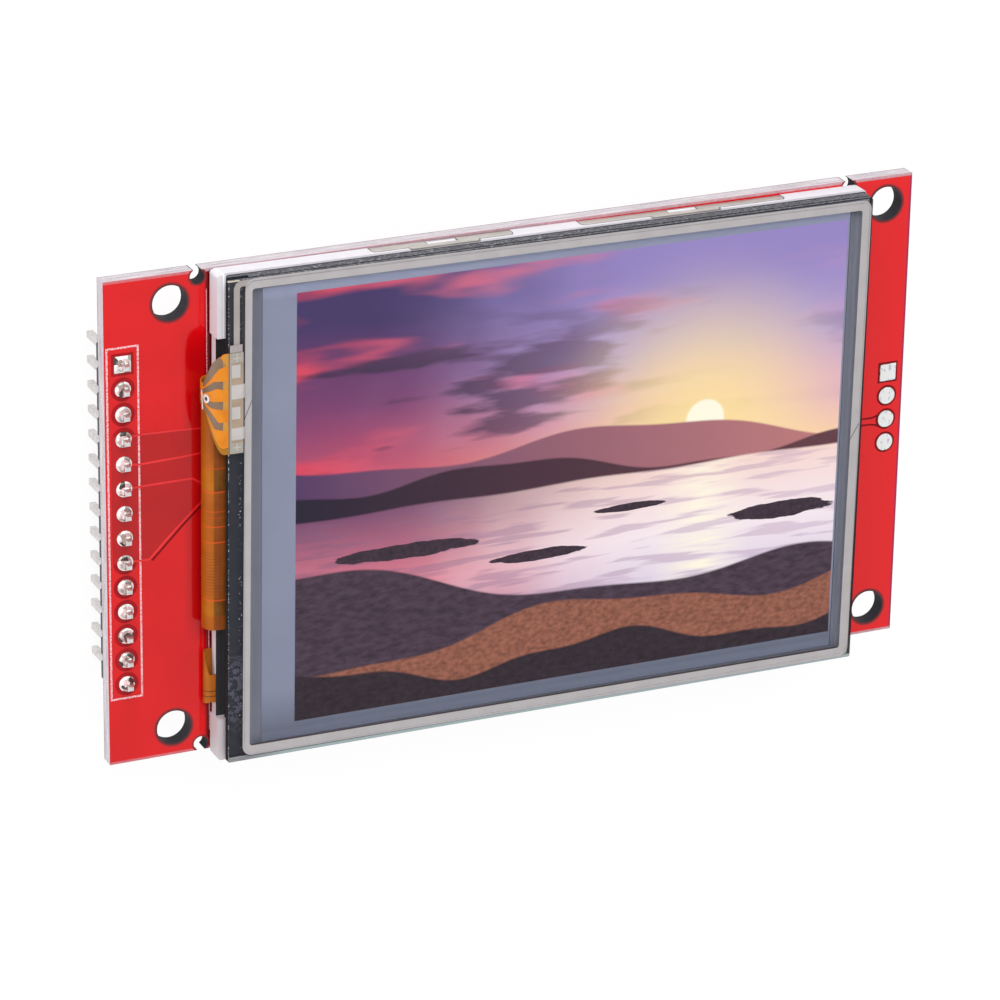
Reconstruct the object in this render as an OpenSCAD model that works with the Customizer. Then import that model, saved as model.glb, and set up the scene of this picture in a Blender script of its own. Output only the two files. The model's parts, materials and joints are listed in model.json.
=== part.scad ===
// TFT display module: a small colour display with a resistive touch panel, taped to a
// circuit board that carries a 14-pin header, a memory card socket and a touch controller.
// +Z is the way the display looks. The origin is the centre of the four mounting holes,
// on the back face of the board. All sizes are in millimetres.

/* [Circuit board] */
// Length of the board
board_l = 86; // [85:0.5:90]
// Width of the board
board_w = 49.8; // [49.8:0.2:54]
// Thickness of the board
board_t = 1.6; // [1:0.2:2]
// Distance from the middle of the holes to the middle of the board, along X
board_shift = -1.9; // [-2.4:0.1:-1.5]
// Distance between the mounting holes along X
hole_dx = 76.5; // [76:0.1:77]
// Distance between the mounting holes along Y
hole_dy = 44; // [43.5:0.1:44.5]
// Diameter of the mounting holes
hole_d = 3.5; // [3:0.1:3.6]
// Diameter of the small holes that break out through the long edges
notch_d = 1.5; // [1.2:0.1:1.8]

/* [Header] */
// Number of header pins
pin_count = 14; // [2:1:14]
// Distance from pin to pin
pin_pitch = 2.54; // [2.54:0.01:2.54]
// Distance from the left edge of the board to the row of pins
pin_inset = 1.84; // [1.6:0.02:2]
// How far the pins reach below the back of the board
pin_drop = 7.8; // [6:0.1:8.6]
// How far the pin tips stand above the front of the board
pin_rise = 1.4; // [1.2:0.1:2]
// Number of plated holes at the right-hand edge
side_count = 4; // [1:1:4]
// Distance from the right edge of the board to the row of plated holes
side_inset = 1.74; // [1.6:0.02:2]

/* [Display] */
// Length of the display
lcd_l = 69.2; // [68.6:0.1:69.6]
// Width of the display
lcd_w = 50.2; // [50:0.1:51]
// Turn of the display on the board, as it was taped down
lcd_turn = -0.35; // [-1:0.05:1]
// Middle of the display along X
lcd_x = 0.15; // [-0.2:0.05:0.3]
// Middle of the display along Y
lcd_y = -0.4; // [-0.6:0.1:0.6]
// Thickness of the mounting tape
tape_t = 0.1; // [0.1:0.05:0.2]
// Thickness of the display's stamped back shield
shield_t = 0.15; // [0.1:0.05:0.2]
// Height of the white frame's long walls over the shield
frame_h = 1.6; // [1.6:0.05:1.8]
// Thickness of each of the two display glasses
glass_t = 0.5; // [0.4:0.05:0.6]
// Thickness of the touch panel's glass
touch_t = 0.7; // [0.6:0.05:0.8]
// Thickness of the touch panel's film
film_t = 0.2; // [0.15:0.05:0.25]
// Thickness of the flexible circuits
flex_t = 0.1; // [0.08:0.01:0.12]

/* [Card socket] */
// Width of the card socket
socket_w = 28.6; // [28:0.2:30]
// Height of the card socket
socket_h = 2.8; // [2.7:0.1:3]
// Middle of the card socket along X
socket_x = 17; // [14:1:20]

/* [Hidden] */
$fn = 48;
PIN_NAMES = [for (i = [1:14]) str("header_pin_", i < 10 ? "0" : "", i)];
LED_NAMES = [for (i = [1:4]) str("backlight_led_", i)];
CAP_NAMES = [for (i = [1:4]) str("capacitor_", i)];

// Board and header places
board_left = board_shift - board_l / 2;
board_right = board_shift + board_l / 2;
pin_x = board_left + pin_inset;
side_x = board_right - side_inset;
pin_w = 0.64;
barrel_d = 1;
first_pad = 1.68;
strip_h = 2.5;
strip_w = 2.2;
notch_y = 24.25;
notch_left = -35.45;
notch_right = 33.95;

// Levels of the display, measured from the front of the board
shield_z = tape_t;
frame_z = shield_z + shield_t;
frame_top = frame_z + frame_h;
block_top = frame_top + 0.4;
step_top = frame_z + 1.05;
rim_t = 0.05;
array_z = frame_top + rim_t;
filter_z = array_z + glass_t;
gasket_z = filter_z + glass_t;
gasket_t = 0.2;
touch_z = gasket_z + gasket_t;
film_z = touch_z + touch_t;
sheet_t = 0.1;
guide_t = 0.7;
guide_z = frame_z + sheet_t;
guide_top = guide_z + guide_t;

// Plan of the display, measured from its middle
lcd_left = -lcd_l / 2;
lcd_right = lcd_l / 2;
lcd_half = lcd_w / 2;
block_x = lcd_left + 0.85;       // inner face of the raised corner blocks
block_up = 18.75;                // where the upper block ends
block_down = -20.7;              // where the lower block ends
wall_x = lcd_left + 0.2;         // low wall between the blocks
step_x = lcd_left + 1.1;         // inner edge of the low wall
rail_x = lcd_left + 2.1;         // inner face of the left rail
glass_left = block_x;
filter_left = -31.65;
guide_left = -30.9;
inner_right = 33.4;
inner_half = 23.6;
flange_t = shield_t;
wall_t = 0.7;
corner_r = 0.4;
flange_r = 0.2;

// Flanges of the shield on each long side: middle, length, length of the high tab
FLANGES = [[-11, 14.8, 6.9], [14.7, 22.2, 7.1]];
hook_l = 3.2;
window_low = frame_z + 0.15;
window_high = frame_z + 0.85;
flange_low = frame_top - 0.4;

// Flexible circuits
main_low = -11.1;
main_high = 12.1;
main_bend_x = lcd_left + 0.05;
NECK = [-19.3, -16.4];
FLARE = [-19.4, -14];
light_bend_x = lcd_left - 0.25;
tail_x = -34.15;                 // where the touch tail starts to bend
tail_r = (film_z + flex_t) / 2;
light_r = (guide_top + flex_t) / 2;
TAIL_WIDE = [7.6, 17.8];
TAIL_NECK = [12.3, 14.5];

// Card socket
sheet = 0.2;
socket_front = -24.5;
socket_l = 24;
slot_w = 24.4;
floor_t = 0.5;
block_l = 5.7;
contact_pitch = 2.5;
contact_w = 0.8;
contact_t = 0.15;

// ---------- helpers ----------

module rounded_plan(x0, x1, y0, y1, r) {
    translate([x0 + r, y0 + r])
        offset(r = r) square([x1 - x0 - 2 * r, y1 - y0 - 2 * r]);
}

// A flat plate with true round corners
module plate(x0, x1, y0, y1, z0, z1, r) {
    translate([0, 0, z0]) {
        translate([x0 + r, y0, 0]) cube([x1 - x0 - 2 * r, y1 - y0, z1 - z0]);
        translate([x0, y0 + r, 0]) cube([x1 - x0, y1 - y0 - 2 * r, z1 - z0]);
        for (x = [x0 + r, x1 - r], y = [y0 + r, y1 - r])
            translate([x, y, 0]) cylinder(r = r, h = z1 - z0);
    }
}

module block(x0, x1, y0, y1, z0, z1) {
    translate([x0, y0, z0]) cube([x1 - x0, y1 - y0, z1 - z0]);
}

// Draws a profile in X and Z and runs it from y0 to y1
module along_y(y0, y1) {
    translate([0, y1, 0]) rotate([90, 0, 0]) linear_extrude(y1 - y0) children();
}

// Draws a profile in Y and Z and runs it from x0 to x1
module along_x(x0, x1) {
    translate([x0, 0, 0]) rotate([90, 0, 90]) linear_extrude(x1 - x0) children();
}

// Puts the display's own plan and levels on the board
module on_board() {
    translate([lcd_x, lcd_y, board_t]) rotate([0, 0, lcd_turn]) children();
}

// Puts what is drawn upwards on the back of the board, turned away from it
module on_back(x, y, turn = 0) {
    translate([x, y, 0]) rotate([0, 0, turn]) mirror([0, 0, 1]) children();
}

// ---------- circuit board and header ----------

module circuit_board() {
    color("firebrick")
    difference() {
        block(board_left, board_right, -board_w / 2, board_w / 2, 0, board_t);
        for (x = [-hole_dx / 2, hole_dx / 2], y = [-hole_dy / 2, hole_dy / 2])
            translate([x, y, -1]) cylinder(d = hole_d, h = board_t + 2);
        for (x = [notch_left, notch_right], y = [-notch_y, notch_y])
            translate([x, y, -1]) cylinder(d = notch_d, h = board_t + 2);
        pin_places() translate([0, 0, -1]) cylinder(d = barrel_d, h = board_t + 2);
        side_places() translate([0, 0, -1]) cylinder(d = barrel_d, h = board_t + 2);
    }
}

function pin_y(i) = ((pin_count - 1) / 2 - i) * pin_pitch;

module pin_places() {
    for (i = [0:pin_count - 1]) translate([pin_x, pin_y(i), 0]) children();
}

module side_places() {
    for (i = [0:side_count - 1])
        translate([side_x, ((side_count - 1) / 2 - i) * pin_pitch, 0]) children();
}

// One moulded unit of the strip, with its corners cut
module strip_unit() {
    c = 0.45;
    w = strip_w / 2;
    l = pin_pitch / 2;
    polygon([[-w + c, -l], [w - c, -l], [w, -l + c], [w, l - c],
             [w - c, l], [-w + c, l], [-w, l - c], [-w, -l + c]]);
}

module header_strip() {
    color("black")
    difference() {
        pin_places() translate([0, 0, -strip_h]) linear_extrude(strip_h) strip_unit();
        pin_places() block(-pin_w / 2, pin_w / 2, -pin_w / 2, pin_w / 2, -strip_h - 1, 1);
    }
}

module pin_profile() {
    w = pin_w / 2;
    tip = 0.14;
    top = board_t + pin_rise;
    polygon([[-w, -pin_drop + 0.5], [-tip, -pin_drop], [tip, -pin_drop], [w, -pin_drop + 0.5],
             [w, top - 0.25], [w - 0.12, top], [-w + 0.12, top], [-w, top - 0.25]]);
}

// A square pin whose four sides draw in at both ends
module header_pin(i) {
    color("silver")
    translate([pin_x, pin_y(i), 0])
        intersection() {
            along_y(-pin_w / 2, pin_w / 2) pin_profile();
            along_x(-pin_w / 2, pin_w / 2) pin_profile();
        }
}

// The solder of one pin: it fills the hole and climbs the pin in a hollow cone
module solder_joint() {
    rise = 0.75;
    wide = 0.8;
    narrow = 0.44;
    rotate_extrude()
        polygon(concat(
            [[0, 0], [barrel_d / 2, 0], [barrel_d / 2, board_t], [wide, board_t],
             [wide, board_t + 0.06]],
            [for (a = [15:15:90]) [narrow + (wide - narrow) * (1 - sin(a)),
                                   board_t + 0.06 + (rise - 0.06) * (1 - cos(a))]],
            [[0, board_t + rise]]));
}

module header_solder() {
    color("gainsboro")
    difference() {
        union() {
            pin_places() solder_joint();
            translate([pin_x, pin_y(0), board_t])
                block(-first_pad / 2, first_pad / 2, -first_pad / 2, first_pad / 2, 0, 0.05);
        }
        pin_places() block(-pin_w / 2, pin_w / 2, -pin_w / 2, pin_w / 2, -1, board_t + 2);
    }
}

// Solder that fills the plated holes at the right-hand edge; the first pad is square
module side_pad_solder() {
    pad = 1.8;
    color("gainsboro")
    side_places() {
        cylinder(d = barrel_d, h = board_t);
        if ($children > 0) children();
    }
    color("gainsboro")
    for (i = [0:side_count - 1])
        translate([side_x, ((side_count - 1) / 2 - i) * pin_pitch, board_t]) {
            if (i == 0) block(-pad / 2, pad / 2, -pad / 2, pad / 2, 0, 0.08);
            else cylinder(d = pad, h = 0.08);
        }
}

// ---------- display: back light ----------

module display_tape() {
    color("dimgray") on_board() plate(-28.3, 33.6, -23, 23, 0, tape_t, 1);
}

// Outline of one flange, seen from the side: a low strip with a higher tab in the middle
module flange_outline(f, grow = 0) {
    m = f[0];
    l = f[1] / 2 + grow;
    t = f[2] / 2 + grow;
    low = flange_low + grow;
    polygon([[m - l, 0], [m - l, low - 0.4], [m - l + 0.25, low], [m - t - 0.25, low],
             [m - t, frame_top + 1], [m + t, frame_top + 1], [m + t + 0.25, low],
             [m + l - 0.25, low], [m + l, low - 0.4], [m + l, 0]]);
}

// Section of the folded edge: floor, round bend and upright flange
module fold_section() {
    out = lcd_half;
    translate([out - 2, shield_z]) square([2 - flange_r, shield_t]);
    translate([out - flange_t, shield_z + flange_r])
        square([flange_t, frame_top - shield_z - flange_r]);
    intersection() {
        translate([out - flange_r, shield_z + flange_r])
            difference() {
                circle(r = flange_r);
                circle(r = flange_r - flange_t);
            }
        translate([out - flange_r, shield_z]) square(flange_r);
    }
}

module flange(f) {
    difference() {
        intersection() {
            along_x(f[0] - f[1] / 2 - 1, f[0] + f[1] / 2 + 1) fold_section();
            along_y(0, lcd_half + 1) flange_outline(f);
        }
        block(f[0] - hook_l / 2, f[0] + hook_l / 2, lcd_half - 1, lcd_half + 1,
              window_low, window_high);
    }
}

module both_sides() {
    children();
    mirror([0, 1, 0]) children();
}

module rear_shield() {
    color("silver") on_board() {
        plate(lcd_left + 0.6, lcd_right - 0.4, -lcd_half + 0.8, lcd_half - 0.8,
              shield_z, frame_z, 0.8);
        both_sides() for (f = FLANGES) flange(f);
    }
}

// What the white frame gives way to, on one long side, for a flange of the shield
module flange_pocket(f) {
    along_y(lcd_half - flange_t, lcd_half + 1) flange_outline(f, 0.06);
    block(f[0] - f[1] / 2 - 0.06, f[0] + f[1] / 2 + 0.06,
          lcd_half - flange_r, lcd_half + 1, 0, shield_z + flange_r);
    block(f[0] - f[1] / 2 - 0.06, f[0] + f[1] / 2 + 0.06,
          lcd_half - wall_t - 0.1, lcd_half + 1, 0, frame_z);
}

// A wedge of the white frame that snaps into a flange's window
module hook(f) {
    g = 0.05;
    along_x(f[0] - hook_l / 2 + g, f[0] + hook_l / 2 - g)
        polygon([[lcd_half - flange_t, window_low + g], [lcd_half - 0.02, window_low + g],
                 [lcd_half - flange_t, window_high - g]]);
}

module light_frame() {
    color("whitesmoke") on_board() {
        difference() {
            union() {
                plate(lcd_left, lcd_right, -lcd_half, lcd_half, frame_z, frame_top, corner_r);
                // the long walls reach down past the shield
                both_sides()
                    block(lcd_left + corner_r, lcd_right - corner_r,
                          lcd_half - wall_t, lcd_half, shield_z, frame_top);
                intersection() {
                    plate(lcd_left, lcd_right, -lcd_half, lcd_half, frame_z, block_top, corner_r);
                    union() {
                        block(lcd_left, block_x, block_up, lcd_half, frame_z, block_top);
                        block(lcd_left, block_x, -lcd_half, block_down, frame_z, block_top);
                    }
                }
            }
            // window for the light guide and the sheets, and the wider one over it
            block(rail_x, inner_right, -inner_half, inner_half, 0, block_top + 1);
            block(rail_x, inner_right + 0.2, -inner_half - 0.3, inner_half + 0.3,
                  guide_top + 0.4, block_top + 1);
            // low wall between the corner blocks
            block(lcd_left - 1, wall_x, block_down, block_up, 0, block_top + 1);
            block(lcd_left - 1, step_x, block_down, block_up, step_top, block_top + 1);
            // way out for the back light's flexible circuit
            block(lcd_left - 1, rail_x + 1, NECK[0] - 0.1, NECK[1] + 0.1,
                  guide_top, step_top + 0.05);
            both_sides() for (f = FLANGES) flange_pocket(f);
        }
        both_sides() for (f = FLANGES) hook(f);
    }
}

module reflector_sheet() {
    color("white") on_board()
        plate(rail_x + 0.1, inner_right - 0.1, -inner_half + 0.1, inner_half - 0.1,
              frame_z, guide_z, 0.5);
}

module light_guide() {
    color("azure") on_board()
        plate(guide_left, inner_right - 0.1, -inner_half + 0.2, inner_half - 0.2,
              guide_z, guide_top, 0.3);
}

module guide_cover(level) {
    on_board()
        plate(guide_left + 0.1 * (level + 1), inner_right - 0.2, -inner_half + 0.3,
              inner_half - 0.3, guide_top + level * sheet_t,
              guide_top + (level + 1) * sheet_t, 0.3);
}

module diffuser_sheet() { color("white") guide_cover(0); }
module lower_prism_sheet() { color("lightgray") guide_cover(1); }
module upper_prism_sheet() { color("lightgray") guide_cover(2); }

// Side-lighting lamps between the left rail and the light guide
module backlight_led(i) {
    y = (i - 1.5) * 10;
    color("lightyellow") on_board()
        block(guide_left - 0.65, guide_left, y - 1.6, y + 1.6, guide_z, guide_top);
}

// A flexible strip that runs out to the left, turns down and comes back underneath.
// It is drawn in X and Z; the bend's middle is at x.
module turned_strip(x, top, low_end, top_end) {
    r = top / 2;
    translate([x, r])
        difference() {
            circle(r = r, $fn = 96);
            circle(r = r - flex_t, $fn = 96);
            translate([0, -r - 1]) square(2 * r + 2);
        }
    translate([x, 0]) square([low_end - x, flex_t]);
    translate([x, top - flex_t]) square([top_end - x, flex_t]);
}

function ease(t) = t <= 0 ? 0 : t >= 1 ? 1 : (1 - cos(180 * t)) / 2;
function end_ring(x, z, ys) = [[x, ys[0], z[0]], [x, ys[1], z[0]],
                               [x, ys[0], z[1]], [x, ys[1], z[1]]];

// A sheet through rings of four points: low and high edge outside, low and high edge inside
module bent_sheet(rings) {
    n = len(rings);
    polyhedron(
        [for (r = rings, p = r) p],
        concat(
            [[0, 1, 3, 2]],
            [for (i = [0:n - 2], f = [[0, 4, 5, 1], [1, 5, 7, 3], [3, 7, 6, 2], [2, 6, 4, 0]])
                [for (k = f) i * 4 + k]],
            [[for (k = [2, 3, 1, 0]) (n - 1) * 4 + k]]));
}

// Lower and upper edge of the light flex at angle a of its bend: it widens from its neck
function light_low(a) = NECK[0] + (FLARE[0] - NECK[0]) * ease((a - 5) / 60);
function light_high(a) = NECK[1] + (FLARE[1] - NECK[1]) * ease((a - 5) / 85);
function light_ring(a) = [for (r = [light_r, light_r - flex_t], y = [light_low(a), light_high(a)])
    [light_bend_x - r * sin(a), y, light_r + r * cos(a)]];

module light_flex() {
    color("peru") on_board() {
        bent_sheet(concat(
            [end_ring(rail_x + 0.2, [2 * light_r, guide_top], NECK)],
            [for (a = [0:7.5:180]) light_ring(a)],
            [end_ring(-31, [0, flex_t], FLARE)]));
        block(rail_x + 0.1, guide_left - 0.1, NECK[0], 18, guide_top, 2 * light_r);
    }
}

// ---------- display: glass ----------

module rim_tape() {
    color("black") on_board()
        difference() {
            block(glass_left + 0.3, lcd_right - 0.1, -lcd_half + 0.2, lcd_half - 0.2,
                  frame_top, array_z);
            block(rail_x, inner_right + 0.2, -inner_half - 0.3, inner_half + 0.3,
                  frame_top - 1, array_z + 1);
        }
}

module ledge_tape() {
    color("black") on_board()
        block(wall_x, step_x, block_down, block_up, step_top, step_top + rim_t);
}

module rear_polariser() {
    color("dimgray") on_board()
        block(-31.2, inner_right, -inner_half, inner_half, array_z - 0.2, array_z);
}

module array_glass() {
    color("darkslategray") on_board()
        block(glass_left, lcd_right - 0.2, -lcd_half + 0.25, lcd_half - 0.25,
              array_z, filter_z);
}

module filter_glass() {
    color("slategray") on_board()
        block(filter_left, lcd_right - 0.2, -lcd_half + 0.25, lcd_half - 0.25,
              filter_z, gasket_z);
}

module front_polariser() {
    color("lightslategray") on_board()
        block(-30.35, 32.3, -23.45, inner_half, gasket_z, gasket_z + 0.15);
}

// Long narrow driver chip on the glass ledge
module driver_chip() {
    color("darkgray") on_board()
        block(-32.85, -31.85, -8.5, 8.5, filter_z, filter_z + 0.35);
}

module main_flex() {
    top = filter_z + flex_t;
    color("darkgoldenrod") on_board()
        along_y(main_low, main_high) turned_strip(main_bend_x, top, -29.5, -33);
}

module touch_gasket() {
    color("black") on_board()
        difference() {
            block(-34, 34.3, -24.6, 24.7, gasket_z, touch_z);
            block(-30.4, 32.35, -23.5, 23.7, gasket_z - 1, touch_z + 1);
        }
}

module touch_glass() {
    color("slategray") on_board() plate(-34.1, 34.35, -24.75, 24.85, touch_z, film_z, 0.15);
}

module touch_film() {
    color("lightgray") on_board()
        plate(-32.45, 34, -24.15, 24.8, film_z, film_z + film_t, 1.1);
}

// Lower and upper edge of the tail at angle a of its bend: it draws in to the neck
function tail_low(a) = TAIL_WIDE[0] + (TAIL_NECK[0] - TAIL_WIDE[0]) * ease((a - 12) / 76);
function tail_high(a) = TAIL_WIDE[1] + (TAIL_NECK[1] - TAIL_WIDE[1]) * ease((a - 8) / 72);
function tail_ring(a) = [for (r = [tail_r, tail_r - flex_t], y = [tail_low(a), tail_high(a)])
    [tail_x - r * sin(a), y, tail_r + r * cos(a)]];

// The touch panel's tail: bonded on the glass, folded down over the edge and under the display
module touch_tail() {
    color("orange") on_board()
        bent_sheet(concat(
            [end_ring(-32.6, [2 * tail_r, film_z], TAIL_WIDE)],
            [for (a = [0:7.5:180]) tail_ring(a)],
            [end_ring(-31.2, [0, flex_t], TAIL_NECK)]));
}

// ---------- back of the board ----------

module card_windows() {
    for (s = [-1, 1]) {
        block(s * 8 - 1.6, s * 8 + 1.6, -19, -12, -1, socket_h + 1);
        block(s * 11.5 - 0.9, s * 11.5 + 0.9, -8.5, -4, -1, socket_h + 1);
    }
    // finger cut in the front edge
    translate([0, socket_front - 0.01, -1])
        linear_extrude(socket_h + 2)
            polygon([[-7.5, 0], [7.5, 0], [6, 2.2], [-6, 2.2]]);
}

module card_socket_shell() {
    w = socket_w / 2;
    color("silver") on_back(socket_x, 0) {
        difference() {
            along_y(socket_front, socket_front + socket_l)
                difference() {
                    translate([-w, 0]) square([socket_w, socket_h]);
                    translate([-w + sheet, -1]) square([socket_w - 2 * sheet, socket_h + 1 - sheet]);
                }
            card_windows();
        }
        for (s = [-1, 1], y = [-21.5, -4.5])
            block(s > 0 ? w : -w - 1.3, s > 0 ? w + 1.3 : -w, y, y + 1.8, 0, sheet);
    }
}

// Section of one contact in Y and Z: foot, riser, run through the block, and sprung tongue
module contact_section() {
    y0 = socket_front + socket_l;
    z = floor_t + 0.1;
    t = contact_t;
    polygon([[y0 + 2.9, 0], [y0 + 1.7, 0], [y0 + 1.7, z], [y0 - 4, z], [y0 - 7.4, z + 0.75],
             [y0 - 8.6, z + 0.15], [y0 - 8.6, z + 0.35], [y0 - 7.4, z + 0.95],
             [y0 - 4, z + t], [y0 + 1.7 + t, z + t], [y0 + 1.7 + t, t], [y0 + 2.9, t]]);
}

module each_contact() {
    for (i = [0:8]) translate([(i - 4) * contact_pitch, 0, 0]) children();
}

module card_socket_contacts() {
    color("gold") on_back(socket_x, 0)
        each_contact() along_x(-contact_w / 2, contact_w / 2) contact_section();
}

module card_socket_base() {
    w = socket_w / 2 - sheet;
    y0 = socket_front + 0.2;
    y1 = socket_front + socket_l;
    h = socket_h - sheet;
    color("dimgray") on_back(socket_x, 0)
        difference() {
            union() {
                block(-w, w, y0, y1, 0, floor_t);
                for (s = [-1, 1])
                    block(s > 0 ? slot_w / 2 : -w, s > 0 ? w : -slot_w / 2, y0, y1, 0, h);
                block(-w, w, y1 - 4, y1 + block_l - 4, 0, h);
            }
            block(-9, 9, y0 + 3, y1 - 9.5, -1, floor_t + 1);
            each_contact()
                block(-contact_w / 2, contact_w / 2, y1 - 10, y1 + 4,
                      floor_t + 0.1, floor_t + 0.1 + contact_t);
        }
}

// One bent lead in X and Z, from the body's side down to the board and out
module lead_section(x0, x1, z, t) {
    polygon([[x0, z], [x0 + 0.25, z], [x0 + 0.45, 0], [x1, 0], [x1, t],
             [x0 + 0.55, t], [x0 + 0.35, z + t], [x0, z + t]]);
}

module lead_row(xs, x0, x1, z, t, w) {
    for (y = xs) translate([0, y, 0]) along_y(-w / 2, w / 2) lead_section(x0, x1, z, t);
}

// A moulded body whose four sides draw in a little over and under the leads
module moulded_body(l, w, low, high) {
    mid = (low + high) / 2;
    d = 0.12;
    intersection() {
        along_y(-w / 2, w / 2)
            polygon([[-l / 2 + d, low], [l / 2 - d, low], [l / 2, mid],
                     [l / 2 - d, high], [-l / 2 + d, high], [-l / 2, mid]]);
        along_x(-l / 2, l / 2)
            polygon([[-w / 2 + d, low], [w / 2 - d, low], [w / 2, mid],
                     [w / 2 - d, high], [-w / 2 + d, high], [-w / 2, mid]]);
    }
}

controller_x = -22;
controller_y = -11;

module touch_controller() {
    color("black") on_back(controller_x, controller_y)
        difference() {
            moulded_body(4.4, 5, 0.1, 1.1);
            translate([-1.6, 1.9, 1]) cylinder(d = 0.6, h = 1);
        }
}

module touch_controller_leads() {
    color("silver") on_back(controller_x, controller_y)
        for (s = [0, 180])
            rotate([0, 0, s])
                lead_row([for (i = [-3.5:3.5]) i * 0.65], 2.2, 3.2, 0.5, 0.15, 0.24);
}

module small_body() { moulded_body(1.4, 2.9, 0.1, 1.1); }

module small_leads() {
    lead_row([-0.95, 0.95], 0.7, 1.3, 0.5, 0.15, 0.42);
    rotate([0, 0, 180]) lead_row([0], 0.7, 1.3, 0.5, 0.15, 0.42);
}

module regulator() { color("black") on_back(-33, 10, 90) small_body(); }
module regulator_leads() { color("silver") on_back(-33, 10, 90) small_leads(); }
module transistor() { color("black") on_back(-12, 10) small_body(); }
module transistor_leads() { color("silver") on_back(-12, 10) small_leads(); }

// A chip part: a body with a slightly prouder metal cap on each end
module chip_part(l, w, h, cap) {
    block(-l / 2 + cap, l / 2 - cap, -w / 2 + 0.02, w / 2 - 0.02, 0.02, h - 0.02);
    for (s = [-1, 1])
        block(s > 0 ? l / 2 - cap : -l / 2, s > 0 ? l / 2 : -l / 2 + cap, -w / 2, w / 2, 0, h);
}

CAP_PLACES = [[-37, 5.5, 90], [-29, 5.5, 90], [-17, -17, 0], [-27, -17, 0]];
RESISTOR_PLACES = [for (i = [0:5]) [-30 + i * 2.6, 0, 90]];

module capacitor(i) {
    p = CAP_PLACES[i];
    color("burlywood") on_back(p[0], p[1], p[2]) chip_part(2, 1.25, 0.9, 0.4);
}

module chip_resistors() {
    color("dimgray")
    for (p = RESISTOR_PLACES) on_back(p[0], p[1], p[2]) chip_part(1.6, 0.8, 0.45, 0.3);
}

// ---------- the nodes ----------

circuit_board();
header_strip();
for (i = [0:len(PIN_NAMES) - 1])
    header_pin(i);
header_solder();
side_pad_solder();
display_tape();
rear_shield();
light_frame();
reflector_sheet();
light_guide();
diffuser_sheet();
lower_prism_sheet();
upper_prism_sheet();
light_flex();
for (i = [0:len(LED_NAMES) - 1])
    backlight_led(i);
rim_tape();
ledge_tape();
rear_polariser();
array_glass();
filter_glass();
front_polariser();
driver_chip();
main_flex();
touch_gasket();
touch_glass();
touch_film();
touch_tail();
card_socket_shell();
card_socket_base();
card_socket_contacts();
touch_controller();
touch_controller_leads();
regulator();
regulator_leads();
transistor();
transistor_leads();
for (i = [0:len(CAP_NAMES) - 1])
    capacitor(i);
chip_resistors();
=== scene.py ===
"""Looks of the TFT display module: finishes, print, copper, solder and the folded circuits' patterns."""
import json
import math

import bmesh
import bpy
from mathutils import Matrix, Vector


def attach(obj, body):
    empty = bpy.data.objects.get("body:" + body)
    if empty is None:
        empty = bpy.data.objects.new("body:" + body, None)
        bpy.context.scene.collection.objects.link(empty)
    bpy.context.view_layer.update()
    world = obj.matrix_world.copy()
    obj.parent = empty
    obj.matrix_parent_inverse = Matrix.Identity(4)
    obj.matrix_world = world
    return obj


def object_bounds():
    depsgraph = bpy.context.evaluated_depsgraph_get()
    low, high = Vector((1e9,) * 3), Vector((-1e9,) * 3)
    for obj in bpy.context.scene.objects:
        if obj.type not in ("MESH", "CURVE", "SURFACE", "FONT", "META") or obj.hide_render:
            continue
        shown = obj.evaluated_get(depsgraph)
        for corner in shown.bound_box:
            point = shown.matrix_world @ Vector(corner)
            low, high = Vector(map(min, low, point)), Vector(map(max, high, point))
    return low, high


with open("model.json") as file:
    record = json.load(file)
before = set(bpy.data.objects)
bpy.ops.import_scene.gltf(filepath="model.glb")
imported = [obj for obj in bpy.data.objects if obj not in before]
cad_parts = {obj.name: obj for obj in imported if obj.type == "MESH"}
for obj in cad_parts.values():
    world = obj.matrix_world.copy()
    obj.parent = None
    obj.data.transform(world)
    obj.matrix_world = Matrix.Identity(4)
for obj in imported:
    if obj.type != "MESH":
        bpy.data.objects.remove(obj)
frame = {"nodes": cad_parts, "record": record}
cad_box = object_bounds()
nodes = frame["nodes"]

MM = 0.001

# Board
BOARD_TOP = 1.6
HOLE_X, HOLE_Y = 38.25, 22.0
NOTCH_X, NOTCH_Y = (-35.45, 33.95), 24.25
PIN_X, PIN_PITCH, PIN_COUNT = -43.06, 2.54, 14
PIN_STEP = (0, -PIN_PITCH, 0)
SIDE_X, SIDE_COUNT = 39.36, 4

# Display: its plan and levels are counted from its own middle and from the board's front
LCD_SHIFT = (0.15, -0.4, BOARD_TOP)
LCD_TURN = math.radians(-0.35)
LCD_PLACE = Matrix.Translation([v * MM for v in LCD_SHIFT]) @ Matrix.Rotation(LCD_TURN, 4, "Z")
LCD_HALF_Y = 25.1
TOUCH_TOP = 3.8
TAIL_X, TAIL_R = -34.15, 1.95
PICTURE = (-26.85, -21.87, 32.1, 22.65)

# Touch panel: the printed ring sits a little askew, and inside it the sheets are at their clearest
RING_PLACE = LCD_PLACE @ Matrix.Rotation(math.radians(-0.22), 4, "Z")
RING_OUTER = (-32.5, 34.12, -24.42, 24.87)
RING_INNER = (-31.78, 33.13, -23.42, 23.85)
CLEAR_X, CLEAR_Y = (-31.62, 33.05), (-23.42, 23.85)

# Camera, in metres
CAMERA_AT = (-0.195143, 0.185349, 0.415757)
CAMERA_RIGHT = Vector((0.91029, 0.01563, 0.41368))
CAMERA_UP = Vector((0.14508, 0.92386, -0.35417))
CAMERA_LENS = 180.22


def srgb(r, g, b):
    """A colour given in 0 to 255, as Blender's linear values."""
    def one(v):
        v /= 255
        return v / 12.92 if v <= 0.04045 else ((v + 0.055) / 1.055) ** 2.4
    return (one(r), one(g), one(b), 1.0)


# ---------------------------------------------------------------- finishes


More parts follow.
